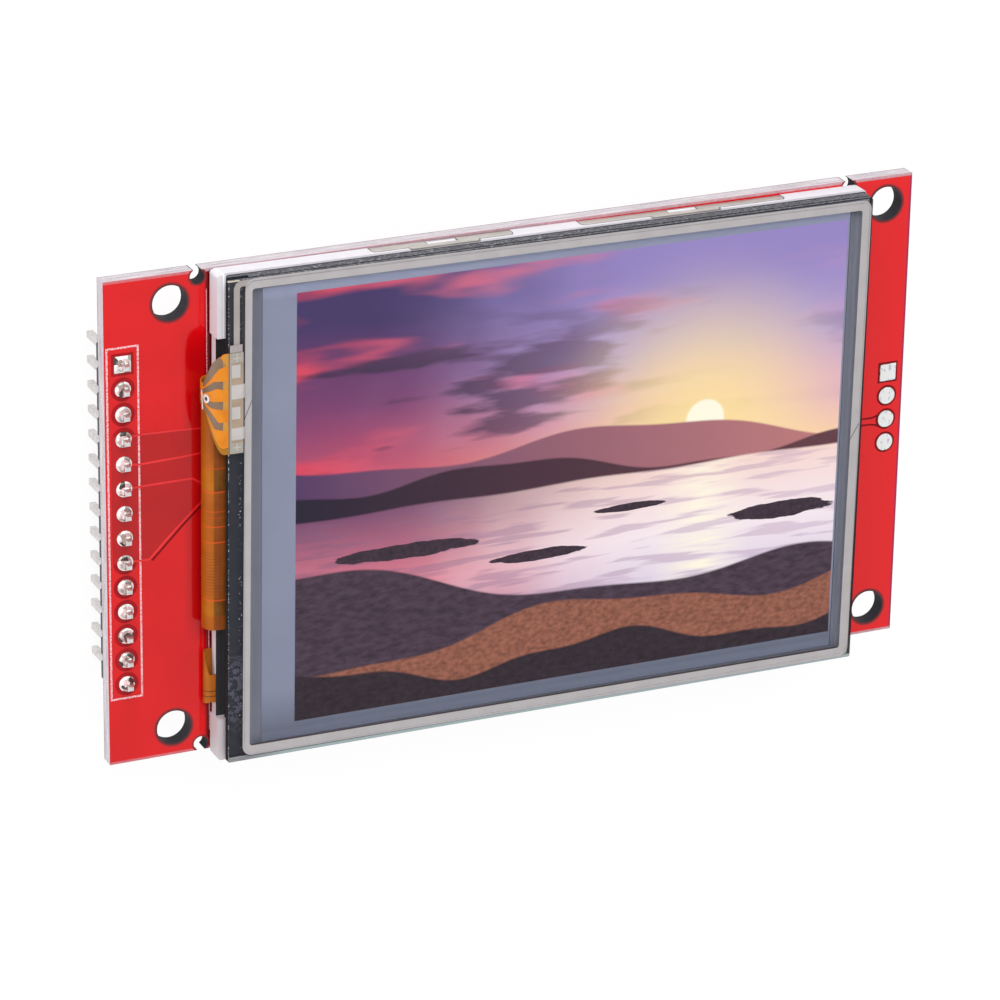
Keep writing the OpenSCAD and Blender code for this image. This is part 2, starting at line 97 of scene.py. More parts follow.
class Finish:
    """One material, built up by short calls. A pattern's sizes are in millimetres."""

    def __init__(self, name, colour, rough=0.5, metal=0.0, **more):
        self.mat = bpy.data.materials.new(name)
        self.mat.use_nodes = True
        self.tree = self.mat.node_tree
        self.shader = self.tree.nodes["Principled BSDF"]
        self.set("Base Color", colour)
        self.set("Roughness", rough)
        self.set("Metallic", metal)
        for key, value in more.items():
            self.set(key.replace("_", " "), value)
        self.coords = self.node("ShaderNodeTexCoord")

    def node(self, kind, *values, **props):
        made = self.tree.nodes.new(kind)
        for key, value in props.items():
            setattr(made, key, value)
        for index, value in enumerate(values):
            self.put(made.inputs[index], value)
        return made

    def put(self, socket, value):
        if value is None:
            return
        if isinstance(value, bpy.types.NodeSocket):
            self.tree.links.new(value, socket)
        else:
            socket.default_value = value

    def set(self, name, value):
        self.put(self.shader.inputs[name], value)

    def math(self, kind, a, b=None, c=None):
        return self.node("ShaderNodeMath", a, b, c, operation=kind).outputs[0]

    def times(self, a, b):
        return self.math("MULTIPLY", a, b)

    def where(self, scale=(1, 1, 1), shift=(0, 0, 0), turn=0.0):
        """Object coordinates in millimetres, first shifted, then turned about Z, then scaled."""
        mapped = self.node("ShaderNodeMapping", self.coords.outputs["Object"], vector_type="POINT")
        mapped.inputs["Scale"].default_value = (1 / MM, 1 / MM, 1 / MM)
        moved = self.node("ShaderNodeMapping", mapped.outputs[0], vector_type="TEXTURE")
        moved.inputs["Location"].default_value = shift
        moved.inputs["Rotation"].default_value = (0, 0, turn)
        sized = self.node("ShaderNodeVectorMath", moved.outputs[0], scale, operation="MULTIPLY")
        return sized.outputs[0]

    def on_display(self, scale=(1, 1, 1)):
        """Millimetres from the display's own middle, along its own sides."""
        return self.where(scale, LCD_SHIFT, LCD_TURN)

    def split(self, vector):
        return self.node("ShaderNodeSeparateXYZ", vector).outputs

    def facing(self, axis):
        """How far a face looks along an axis, from -1 to 1."""
        return self.split(self.coords.outputs["Normal"])[axis]

    def noise(self, size, detail=3.0, stretch=(1, 1, 1), rough=0.55):
        """Noise with patches of about one size; a bigger stretch value makes them shorter that way."""
        made = self.node("ShaderNodeTexNoise", self.where(tuple(s / size for s in stretch)))
        made.inputs["Scale"].default_value = 1.0
        made.inputs["Detail"].default_value = detail
        made.inputs["Roughness"].default_value = rough
        return made.outputs[0]

    def mottle(self, size, detail=3.0):
        """Soft patches from 0 to 1."""
        return self.ramp(self.noise(size, detail), [(0.3, 0.0), (0.7, 1.0)])

    def ramp(self, value, stops, kind="LINEAR"):
        made = self.node("ShaderNodeValToRGB", value)
        made.color_ramp.interpolation = kind
        points = made.color_ramp.elements
        while len(points) < len(stops):
            points.new(0.5)
        for point, (at, colour) in zip(points, stops):
            point.position = at
            point.color = colour if isinstance(colour, tuple) else (colour, colour, colour, 1)
        return made.outputs[0]

    def mix(self, share, a, b):
        """Colour a where the share is 0, colour b where it is 1."""
        made = self.node("ShaderNodeMix", data_type="RGBA", clamp_factor=True)
        self.put(made.inputs[0], share)
        self.put(made.inputs[6], a)
        self.put(made.inputs[7], b)
        return made.outputs[2]

    def band(self, value, low, high, soft=0.02):
        """1 between low and high, 0 outside."""
        up = self.node("ShaderNodeMapRange", value, low - soft, low + soft, 0.0, 1.0)
        down = self.node("ShaderNodeMapRange", value, high - soft, high + soft, 1.0, 0.0)
        return self.times(up.outputs[0], down.outputs[0])

    def bump(self, height, depth, strength=1.0):
        made = self.node("ShaderNodeBump", strength, depth * MM)
        self.put(made.inputs["Height"], height)
        self.set("Normal", made.outputs[0])

    def step(self, value, low, high, first=0.0, last=1.0):
        """Runs from first to last while the value goes from low to high."""
        return self.node("ShaderNodeMapRange", value, low, high, first, last).outputs[0]

    def vary(self, colour, other, size, detail=3.0, stretch=(1, 1, 1)):
        """Mottles the colour towards another one."""
        share = self.ramp(self.noise(size, detail, stretch), [(0.35, 0.0), (0.65, 1.0)])
        self.set("Base Color", self.mix(share, colour, other))


def metal(name, colour, other, rough, grain=0.05, stretch=(1, 1, 1), depth=0.004):
    """Bare or plated metal with a fine grain."""
    f = Finish(name, colour, rough, 1.0)
    f.vary(colour, other, grain * 8, 4.0, stretch)
    f.set("Roughness", f.math("MULTIPLY_ADD", f.noise(grain * 5, 3.0, stretch), 0.25, rough - 0.12))
    f.bump(f.noise(grain, 4.0, stretch), depth)
    return f.mat


def plain(name, colour, rough, other=None, grain=0.1, depth=0.002, **more):
    """Plastic, film, ink or ceramic, mottled towards another colour or else a darker shade."""
    other = other or tuple(c * 0.8 for c in colour[:3]) + (1,)
    f = Finish(name, colour, rough, **more)
    f.vary(colour, other, grain * 20)
    f.set("Roughness", f.math("MULTIPLY_ADD", f.noise(grain * 6), 0.2, rough - 0.1))
    f.bump(f.noise(grain), depth)
    return f.mat


def board_finish():
    """Red mask on the faces, cut glass-fibre on the edges, and painted shade darkening the drilled holes
    inside.
    """
    red, red_low = srgb(210, 8, 16), srgb(200, 5, 12)
    f = Finish("red_mask", red, 0.09, Specular_IOR_Level=0.34)
    x, y, z = f.split(f.where())
    across = f.math("ABSOLUTE", y)
    face = f.math("GREATER_THAN", f.math("ABSOLUTE", f.facing(2)), 0.5)

    def reach(along, px, py):
        """Distance from a hole's middle; the board's two long sides are alike."""
        dx = f.math("SUBTRACT", along, px)
        dy = f.math("SUBTRACT", across, py)
        return f.math("SQRT", f.math("ADD", f.times(dx, dx), f.times(dy, dy)))

    mount = reach(f.math("ABSOLUTE", x), HOLE_X, HOLE_Y)
    notches = f.math("MINIMUM", *(reach(x, notch, NOTCH_Y) for notch in NOTCH_X))

    # mask, a little lighter towards the right end
    mask = f.mix(f.mottle(6, 2.0), red, red_low)
    mask = f.mix(f.step(x, 0.0, 34.0), mask, srgb(222, 14, 22))

    # the display's soft shade on the board's front, deepest close beside it
    front_left = f.times(f.math("LESS_THAN", x, 0.0), f.step(z, 0.8, 0.9))
    shade = f.times(f.step(x, -37.2, -36.2), f.band(y, -12.0, 17.8, 1.5))
    mask = f.mix(f.times(f.times(shade, front_left), 0.42), mask, srgb(120, 3, 8))
    beside = f.step(f.math("MULTIPLY_ADD", y, math.tan(LCD_TURN), x), -34.95, -34.62)
    mask = f.mix(f.times(f.times(beside, front_left), 0.88), mask, srgb(60, 2, 5))

    # borders: purple at the right end, a painted pinkish reflection of the white frame along the long sides,
    # bare and dark round the holes
    mask = f.mix(f.step(x, 40.8, 40.98, 0.0, 0.8), mask, srgb(130, 26, 84))
    border = f.times(f.step(across, 24.6, 24.7), f.step(x, -36.0, -35.0, 0.4, 0.85))
    frame_reflection = f.mix(f.noise(0.3, 3.0), srgb(154, 116, 126), srgb(206, 186, 194))
    mask = f.mix(border, mask, frame_reflection)
    bare = f.math("MAXIMUM", f.step(mount, 2.12, 1.98), f.step(notches, 0.98, 0.9))
    rim = f.mix(f.step(mount, 1.78, 1.98), srgb(74, 24, 30), srgb(134, 28, 34))
    front = f.mix(bare, mask, rim)

    # cut edges: level fibres, darker at the back and pink next to the front's mask
    fibres = f.ramp(f.noise(0.3, 4.0, (0.06, 0.06, 2.6)), [
        (0.32, srgb(140, 132, 138)), (0.46, srgb(186, 178, 184)), (0.64, srgb(212, 206, 210))])
    pale = f.times(f.step(f.noise(0.16, 3.0), 0.58, 0.66), 0.5)
    fibres = f.mix(pale, fibres, srgb(226, 220, 222))
    fibres = f.mix(f.step(z, 0.16, 0.06), fibres, srgb(132, 124, 132))
    fibres = f.mix(f.step(z, 1.44, 1.54), fibres, srgb(192, 124, 134))
    # painted shade: the drilled holes, the pin row's too, are dark inside
    walls = f.mix(f.noise(0.5), srgb(16, 16, 24), srgb(44, 42, 50))
    in_hole = f.math("MAXIMUM", f.math("LESS_THAN", mount, 1.85), f.math("LESS_THAN", notches, 0.8))
    by_pins = f.math("LESS_THAN", f.math("ABSOLUTE", f.math("SUBTRACT", x, PIN_X)), 0.7)
    by_pins = f.times(by_pins, f.math("LESS_THAN", across, 17.5))
    edge = f.mix(f.math("MAXIMUM", in_hole, by_pins), fibres, walls)

    f.set("Base Color", f.mix(face, edge, front))
    gloss = f.step(f.noise(1.2), 0, 1, 0.06, 0.12)
    f.set("Roughness", f.math("ADD", f.times(face, gloss), f.step(face, 0, 1, 0.75, 0.0)))
    f.bump(f.mix(face, f.noise(0.12, 4.0, (0.4, 0.4, 1.5)), f.noise(0.7, 2.0)), 0.005, 0.35)
    return f.mat


def masked(name, colour, other, gloss=0.34):
    """Mask over copper: the board's finish in another shade."""
    f = Finish(name, colour, 0.09, Specular_IOR_Level=gloss)
    f.vary(colour, other, 5, 2.0)
    f.bump(f.noise(0.7, 2.0), 0.004, 0.35)
    return f.mat


def white_ink(name, colour, thin_colour):
    """Ink that covers the red a little unevenly."""
    f = Finish(name, colour, 0.5)
    f.set("Base Color", f.ramp(f.noise(0.18, 4.0), [(0.40, thin_colour), (0.56, colour)]))
    f.bump(f.noise(0.06), 0.004)
    return f.mat


def cut_grain(f, dark, edge):
    """Streaks along a sheet's cut edge, mostly of one tone and here and there dark or bright."""
    return f.ramp(f.noise(0.24, 4.0, (0.7, 0.7, 1.6), 0.8), [
        (0.40, dark), (0.48, edge), (0.56, edge), (0.64, srgb(176, 178, 182))])


def see_through(name, colour, edge, edge_alpha, left_edge, margin=None):
    """A clear sheet of the touch panel: nearly see-through faces, and cut edges in their own colours.

    A margin is the colour of its lower border, past the ring, and adds specks along its left edge, painted
    glints where chips catch the light.
    """
    f = Finish(name, colour, 0.06, Specular_IOR_Level=0.2)
    x, y, z = f.split(f.on_display())
    up = f.facing(2)
    face = f.math("GREATER_THAN", f.math("ABSOLUTE", up), 0.7)
    inside_ring = f.times(f.band(x, *CLEAR_X, 0.02), f.band(y, *CLEAR_Y, 0.02))
    alpha = f.times(f.step(face, 0, 1, edge_alpha, 0.03), f.step(inside_ring, 0, 1, 1.0, 0.1))

    # edges: grain, a line under the film, a cream corner, and one tone on the left
    side = cut_grain(f, srgb(52, 52, 58), edge)
    side = f.mix(f.band(z, TOUCH_TOP - 0.3, TOUCH_TOP + 0.01, 0.03), side, left_edge)
    corner = f.times(f.step(x, -32.85, -32.9), f.band(z, TOUCH_TOP - 0.45, TOUCH_TOP - 0.06))
    side = f.mix(corner, side, srgb(190, 180, 166))
    side = f.mix(f.math("LESS_THAN", f.facing(0), -0.7), side, left_edge)

    top = colour
    if margin:
        low = f.step(y, -24.38, -24.46)
        top = f.mix(low, colour, f.mix(f.step(x, -32.6, -28.0), srgb(128, 128, 132), margin))
        alpha = f.math("MAXIMUM", alpha, f.times(low, 0.85))
        # specks: painted glints where chips on the left edge catch the light
        specks = f.times(f.band(x, -34.12, -34.02, 0.02), f.step(f.noise(0.2, 4.0), 0.55, 0.6))
        top = f.mix(specks, top, srgb(214, 208, 200))
        alpha = f.math("MAXIMUM", alpha, f.times(specks, 0.9))
    f.set("Base Color", f.mix(face, side, top))

    # only edges and upper faces count: the lower faces would tint what shows through a second time
    under = f.math("LESS_THAN", up, -0.7)
    f.set("Alpha", f.times(alpha, f.math("SUBTRACT", 1.0, under)))
    f.set("Roughness", f.step(face, 0, 1, 1.0, 0.06))
    f.bump(f.noise(3.0), 0.002, 0.3)
    return f.mat


def dark_glass(name, colour, edge):
    """Display glass: dark on its faces, streaked and lightly chipped along its cut edges."""
    f = Finish(name, colour, 0.12, Specular_IOR_Level=0.3)
    face = f.math("GREATER_THAN", f.math("ABSOLUTE", f.facing(2)), 0.7)
    left = f.math("LESS_THAN", f.facing(0), -0.7)
    side = f.mix(left, cut_grain(f, srgb(50, 50, 56), edge), srgb(18, 18, 23))
    f.set("Roughness", f.step(face, 0, 1, 1.0, 0.12))
    f.set("Base Color", f.mix(face, side, colour))
    f.bump(f.noise(0.3), 0.003, 0.4)
    return f.mat


def ledge_and_gasket():
    """The dark frame under the touch glass: blue-grey round the picture, near black on the ledge."""
    grey = srgb(107, 109, 122)
    f = Finish("gasket", grey, 0.5, Specular_IOR_Level=0.2)
    x, y, _ = f.split(f.on_display())
    body = f.mix(f.mottle(6, 2.0), grey, srgb(101, 104, 116))
    body = f.mix(f.step(x, 32.8, 33.5), body, srgb(140, 142, 156))

    # ledge left of the ring: lighter at its upper end, rubbed near its lower end, and specks at both sides,
    # painted glints where chips catch the light
    ledge = f.mix(f.noise(1.5), srgb(27, 28, 37), srgb(38, 39, 48))
    ledge = f.mix(f.step(y, 18.0, 19.0), ledge, srgb(58, 58, 64))
    rubbed = f.times(f.step(f.noise(0.55, 5.0), 0.47, 0.52), f.step(y, -13.0, -15.5))
    rubbed = f.times(rubbed, f.step(y, -22.5, -19.5))
    ledge = f.mix(f.times(rubbed, 0.7), ledge, srgb(84, 84, 98))
    left_specks = f.times(f.band(x, -34.02, -33.9, 0.02), f.step(f.noise(0.22, 4.0), 0.56, 0.62))
    right_specks = f.times(f.band(x, -32.75, -32.4, 0.05), f.step(f.noise(0.16, 4.0), 0.63, 0.68))
    ledge = f.mix(f.math("MAXIMUM", left_specks, right_specks), ledge, srgb(196, 190, 184))
    f.set("Base Color", f.mix(f.math("LESS_THAN", x, CLEAR_X[0]), body, ledge))
    f.bump(f.noise(0.1), 0.002)
    return f.mat


class Picture(Finish):
    """The lit screen's dusk scene; u and v run from 0 to 1 across and up the picture."""

    ISLANDS = ((-15, -5.6, 8, 0.8), (-1, -8.2, 5, 0.6), (9, -4.6, 4, 0.4), (26, -7.4, 6, 0.9),
               (-22, -9.5, 6, 0.7))
    BANKS = (
        ((-10.8, 9.0, 1.8, 4.3, 3.7, 0.5, 0.0, -0.10), 0.9, (0.7, 1.5, 1), (10, 8, 14), (96, 74, 92)),
        ((-15.4, 7.1, 1.6, 1.2, 2.9, 0.4, 2.0, 0.03), 0.6, (1, 1.4, 1), (44, 22, 20), (190, 120, 96)),
        ((-18.9, 5.2, 1.2, 0.1, 2.1, 0.4, 3.0, -0.02), 0.8, (1, 1.6, 1), (6, 6, 10), (66, 50, 60)),
    )

    def __init__(self):
        super().__init__("lit_screen", srgb(118, 127, 156), 0.35, Specular_IOR_Level=0.08)
        left, low, right, high = PICTURE
        self.x, self.y, _ = self.split(self.on_display())
        self.u = self.math("DIVIDE", self.math("SUBTRACT", self.x, left), right - left)
        self.v = self.math("DIVIDE", self.math("SUBTRACT", self.y, low), high - low)
        ragged_u = self.math("MULTIPLY_ADD", self.noise(14, 2.0), 0.35, self.math("SUBTRACT", self.u, 0.17))
        self.leftward = self.ramp(ragged_u, [(0.10, 1.0), (0.72, 0.0)], "EASE")

    def drift(self, stretch, detail):
        """Noise drawn out along the picture."""
        made = self.node("ShaderNodeTexNoise", self.on_display(stretch))
        made.inputs["Scale"].default_value = 1.0
        made.inputs["Detail"].default_value = detail
        return made.outputs[0]

    def across(self, at_left, at_right):
        """A colour that changes evenly from the picture's left to its right."""
        return self.mix(self.u, srgb(*at_left), srgb(*at_right))

    def disc(self, cx, cy, near, far):
        """1 up to the near distance from a place, fading to 0 at the far one."""
        dx = self.math("SUBTRACT", self.x, cx)
        dy = self.math("SUBTRACT", self.y, cy)
        away = self.math("SQRT", self.math("ADD", self.times(dx, dx), self.times(dy, dy)))
        return self.node("ShaderNodeMapRange", away, near, far, 1.0, 0.0,
                         interpolation_type="SMOOTHSTEP").outputs[0]

    def below(self, line):
        """1 below an outline, 0 above it."""
        return self.step(self.math("SUBTRACT", line, self.y), -0.12, 0.12)

    def below_ridge(self, level, size_a, tall_a, shift_a, size_b, tall_b, shift_b, slope):
        """1 below the outline of a hill or bank, which is two slow waves on a slope."""
        a = self.math("SINE", self.math("MULTIPLY_ADD", self.x, 1 / size_a, shift_a))
        b = self.math("SINE", self.math("MULTIPLY_ADD", self.x, 1 / size_b, shift_b))
        line = self.math("MULTIPLY_ADD", a, tall_a, self.math("MULTIPLY_ADD", b, tall_b, level))
        return self.below(self.math("MULTIPLY_ADD", self.x, slope, line))

    def sky(self):
        """Violet above, warm at the horizon and deeper towards the left."""
        height = self.math("SUBTRACT", self.v, 0.05)
        height = self.math("MULTIPLY_ADD", self.noise(9, 2.0, (0.5, 1, 1)), 0.10, height)
        sky = self.ramp(height, [
            (0.40, srgb(252, 232, 196)), (0.50, srgb(250, 206, 170)), (0.62, srgb(226, 176, 196)),
            (0.76, srgb(176, 158, 206)), (0.92, srgb(150, 134, 196))])
        deep = self.ramp(height, [
            (0.40, srgb(228, 124, 124)), (0.55, srgb(196, 82, 108)), (0.72, srgb(122, 62, 108)),
            (0.92, srgb(68, 54, 100))])
        return self.mix(self.leftward, sky, deep)

    def clouds(self, sky):
        """Lit streaks with dark cores, and a dark bank halfway up."""
        streaks = self.drift((0.035, 0.17, 0), 3.0)
        fade = self.ramp(self.u, [(0.15, 0.95), (1.0, 0.25)])
        lit = self.ramp(streaks, [(0.50, 0.0), (0.62, 1.0)], "EASE")
        sky = self.mix(self.times(lit, fade), sky, self.across((216, 70, 92), (206, 156, 190)))
        core = self.ramp(streaks, [(0.62, 0.0), (0.72, 1.0)], "EASE")
        sky = self.mix(self.times(core, fade), sky, self.across((44, 34, 58), (112, 80, 122)))
        bank = self.ramp(self.drift((0.05, 0.26, 0.5), 4.0), [(0.53, 0.0), (0.60, 1.0)])
        bank = self.times(bank, self.band(self.v, 0.56, 0.86, 0.06))
        bank = self.times(bank, self.ramp(self.u, [(0.3, 0.85), (0.95, 0.3)]))
        return self.mix(bank, sky, self.across((46, 38, 62), (120, 84, 116)))

    def sun(self, sky):
        glow = self.times(self.disc(17, 3, 1, 20), 0.9)
        sky = self.mix(glow, sky, srgb(255, 226, 158))
        return self.mix(self.disc(17, 3.6, 1.9, 2.3), sky, srgb(255, 250, 226))

    def lake(self):
        """The sky turned over, paler, with level ripples and the sun's path."""
        depth = self.math("DIVIDE", self.math("SUBTRACT", 0.0, self.math("ADD", self.y, 1.0)), 20.0)
        lake = self.ramp(depth, [
            (0.0, srgb(246, 214, 206)), (0.35, srgb(246, 232, 238)), (0.7, srgb(216, 202, 226)),
            (1.0, srgb(170, 158, 196))])
        deep = self.ramp(depth, [
            (0.0, srgb(120, 74, 108)), (0.4, srgb(218, 122, 140)), (1.0, srgb(92, 64, 104))])
        lake = self.mix(self.leftward, lake, deep)
        ripple = self.drift((0.10, 1.1, 0), 2.0)
        calm = self.times(self.ramp(ripple, [(0.52, 0.0), (0.60, 1.0)]), 0.45)
        lake = self.mix(calm, lake, self.across((124, 84, 116), (190, 160, 190)))
        path = self.times(self.band(self.x, 14.0, 20.0, 2.5), self.ramp(ripple, [(0.4, 1.0), (0.6, 0.1)]))
        return self.mix(path, lake, srgb(255, 246, 226))

    def paint(self):
        """The whole scene, from back to front."""
        scene = self.sun(self.clouds(self.sky()))
        far = self.across((84, 56, 98), (190, 122, 122))
        scene = self.mix(self.below_ridge(3.4, 8.5, 1.5, 0.4, 3.1, 0.35, 1.0, -0.06), scene, far)
        near = self.across((34, 26, 46), (98, 58, 66))
        scene = self.mix(self.below_ridge(0.9, 6.3, 1.1, 2.2, 2.3, 0.25, 0.3, -0.05), scene, near)
        waves = self.times(self.math("SINE", self.times(self.x, 0.35)), 0.12)
        scene = self.mix(self.below(self.math("ADD", -1.0, waves)), scene, self.lake())

        ragged = self.math("MULTIPLY_ADD", self.noise(1.6, 5.0, (0.6, 1.6, 1)), 1.5, -0.75)
        stones = self.mix(self.noise(0.5), srgb(26, 20, 30), srgb(78, 58, 72))
        for cx, cy, half_x, half_y in self.ISLANDS:
            dx = self.times(self.math("SUBTRACT", self.x, cx), 1 / half_x)
            dy = self.times(self.math("SUBTRACT", self.y, cy), 1 / half_y)
            away = self.math("ADD", self.times(dx, dx), self.times(dy, dy))
            scene = self.mix(self.step(self.math("ADD", away, ragged), 1.0, 0.9), scene, stones)
        for outline, grain, stretch, dark, light in self.BANKS:
            ground = self.mix(self.noise(grain, 5.0, stretch), srgb(*dark), srgb(*light))
            scene = self.mix(self.below_ridge(*outline), scene, ground)
        return scene


def picture_finish():
    """The lit screen: its scene, in a blue-grey border."""
    f = Picture()
    inside = f.times(f.band(f.u, 0.0, 1.0, 0.0006), f.band(f.v, 0.0, 1.0, 0.0008))
    f.set("Emission Color", f.mix(inside, (0, 0, 0, 1), f.paint()))
    f.set("Emission Strength", 1.0)
    border = f.mix(f.mottle(9, 2.0), srgb(127, 131, 152), srgb(133, 137, 158))
    # border: darker towards the bottom, and painted lighter next to the ring above and below, to offset the
    # shadow the ring casts there
    border = f.mix(f.step(f.y, -18.0, -22.4), border, srgb(100, 105, 122))
    border = f.mix(f.step(f.y, -22.4, -23.4), border, srgb(120, 126, 146))
    border = f.mix(f.step(f.y, 22.2, 23.5), border, srgb(156, 163, 190))
    f.set("Base Color", f.mix(inside, border, (0.004, 0.004, 0.005, 1)))
    f.bump(f.noise(0.3), 0.001, 0.2)
    return f.mat


def flex_finish():
    """Amber film over copper: lines run straight across, with a denser group in the middle."""
    f = Finish("amber_flex", srgb(178, 106, 16), 0.3, Specular_IOR_Level=0.16)
    x, y, z = f.split(f.on_display())
    mottle = f.mottle(2.5)
    body = f.mix(mottle, srgb(174, 100, 14), srgb(152, 80, 8))

    # in front: the run next to the frame is painted darker, as shade set against the lit fold, and a redder
    # film lies between two plain strips
    in_front = f.math("GREATER_THAN", z, 1.3)
    copper = f.mix(f.mottle(1.2), srgb(116, 70, 22), srgb(92, 54, 16))
    body = f.mix(f.times(f.step(x, -35.06, -34.98), in_front), body, copper)
    plain_strips = f.math("MAXIMUM", f.band(y, 3.4, 5.5, 0.05), f.band(y, -9.6, -8.1, 0.05))
    redder = f.times(f.math("SUBTRACT", 1.0, plain_strips), in_front)
    body = f.mix(f.times(redder, 0.3), body, srgb(160, 64, 20))

    # a comb of fine lines, then single lines, each with its strength
    comb = f.math("SINE", f.times(y, 2 * math.pi / 0.31))
    fine = f.times(f.step(comb, 0.3, 0.8), f.band(y, -7.4, -2.9, 0.2))
    body = f.mix(f.times(fine, 0.55), body, srgb(104, 56, 20))
    for line, share in ((5.7, 0.45), (3.24, 0.9), (1.24, 0.5), (0.6, 0.25), (-0.32, 0.8), (-1.94, 0.95),
                        (-7.99, 0.8)):
        stripe = f.band(y, line - 0.05, line + 0.05, 0.04)
        body = f.mix(f.times(stripe, share), body, srgb(214, 78, 28))

    # the lamp circuit, further down, is redder and has two dark lines
    lamp_part = f.math("LESS_THAN", y, -13.0)
    body = f.mix(lamp_part, body, f.mix(mottle, srgb(176, 98, 30), srgb(150, 80, 22)))
    for line in (-18.12, -18.66):
        body = f.mix(f.band(y, line - 0.05, line + 0.05, 0.03), body, srgb(84, 52, 34))
    f.set("Base Color", body)
    f.bump(f.math("ADD", f.noise(0.3), comb), 0.003, 0.3)
    return f.mat


def tail_finish():
    """Orange cover on an amber film that shows along the lower edge; clear film over the glass."""
    f = Finish("orange_flex", srgb(208, 126, 34), 0.3, Specular_IOR_Level=0.2)
    x, y, z = f.split(f.on_display())
    cover = f.mix(f.mottle(1.2), srgb(212, 130, 34), srgb(200, 114, 24))

    # the lower edge rises from the wide end to the neck as the angle round the fold grows
    angle = f.math("ARCTAN2", f.math("SUBTRACT", TAIL_X, x), f.math("SUBTRACT", z, TAIL_R))
    part = f.step(angle, math.radians(12), math.radians(88))
    eased = f.math("MULTIPLY_ADD", f.math("COSINE", f.times(part, math.pi)), -0.5, 0.5)
    lower_edge = f.math("MULTIPLY_ADD", eased, 4.7, 7.6)
    bare_width = f.step(angle, 0.0, 1.2, 0.7, 0.2)
    margin = f.math("SUBTRACT", f.math("SUBTRACT", y, lower_edge), bare_width)
    cover = f.mix(f.step(margin, 0.03, -0.03), cover, srgb(158, 106, 30))
    cover = f.mix(f.band(margin, -0.06, 0.0, 0.02), cover, srgb(120, 84, 40))

    # over the glass, with a brown line where the cover ends
    cover_end = -34.13
    clear = f.times(f.math("GREATER_THAN", x, cover_end), f.math("GREATER_THAN", z, 3.0))
    film = f.mix(f.noise(0.5), srgb(150, 144, 136), srgb(164, 158, 148))
    film = f.mix(f.band(x, cover_end, cover_end + 0.15, 0.02), film, srgb(118, 104, 86))
    f.set("Base Color", f.mix(clear, cover, film))
    f.bump(f.noise(0.15), 0.003, 0.4)
    return f.mat


def solder_finish():
    """Bright solder, with dark and bright facets painted into its colour as the reflections of its
    surroundings.
    """
    f = Finish("solder", srgb(236, 234, 232), 0.2, 0.5)
    facets = f.node("ShaderNodeTexVoronoi", f.where((1.5, 1.5, 1.1)))
    facets.inputs["Scale"].default_value = 1.0
    tone = f.split(facets.outputs["Color"])[0]
    # painted reflections: dark facets and bright ones
    f.set("Base Color", f.ramp(tone, [
        (0.0, srgb(70, 64, 62)), (0.16, srgb(84, 78, 76)), (0.22, srgb(196, 190, 186)),
        (0.4, srgb(240, 238, 236)), (0.78, srgb(250, 249, 248)), (0.9, srgb(170, 164, 158))]))
    f.set("Roughness", f.step(f.noise(0.5), 0, 1, 0.12, 0.3))
    f.bump(f.noise(0.25, 3.0), 0.02)
    return f.mat


def pad_face_finish():
    """Flat solder face with a few grey marks."""
    silver = srgb(228, 229, 228)
    f = Finish("pad_face", silver, 0.4)
    marks = f.step(f.noise(0.55, 3.0, (1.6, 0.7, 1)), 0.56, 0.62)
    f.set("Base Color", f.mix(marks, silver, srgb(182, 186, 198)))
    f.bump(f.noise(0.3), 0.01)
    return f.mat


def white_frame():
    """White plastic with painted light: a different white by the way a face looks, darker and pinker towards
    its lower end as painted shade and the board's painted reflection, and a painted highlight along the edge
    beside the ledge.
    """
    f = Finish("white_plastic", srgb(240, 236, 240), 0.45)
    x, y, _ = f.split(f.on_display())
    # painted shade: faces that look up get a mottled white, the others a slightly greyer one
    side = f.mix(f.mottle(2.0), srgb(222, 219, 225), srgb(214, 210, 216))
    body = f.mix(f.math("GREATER_THAN", f.facing(2), 0.5), srgb(214, 211, 217), side)
    # painted shade and a painted pink reflection of the board, darker and pinker towards the lower end
    body = f.mix(f.step(y, -14.0, -20.0, 0.0, 0.8), body, srgb(190, 180, 184))
    # painted highlight along the frame's edge beside the ledge
    edge_highlight = f.times(f.band(x, -34.04, -33.9, 0.01), f.step(y, 15.0, 15.2))
    f.set("Base Color", f.mix(edge_highlight, body, srgb(252, 250, 252)))
    f.bump(f.noise(0.08), 0.002)
    return f.mat


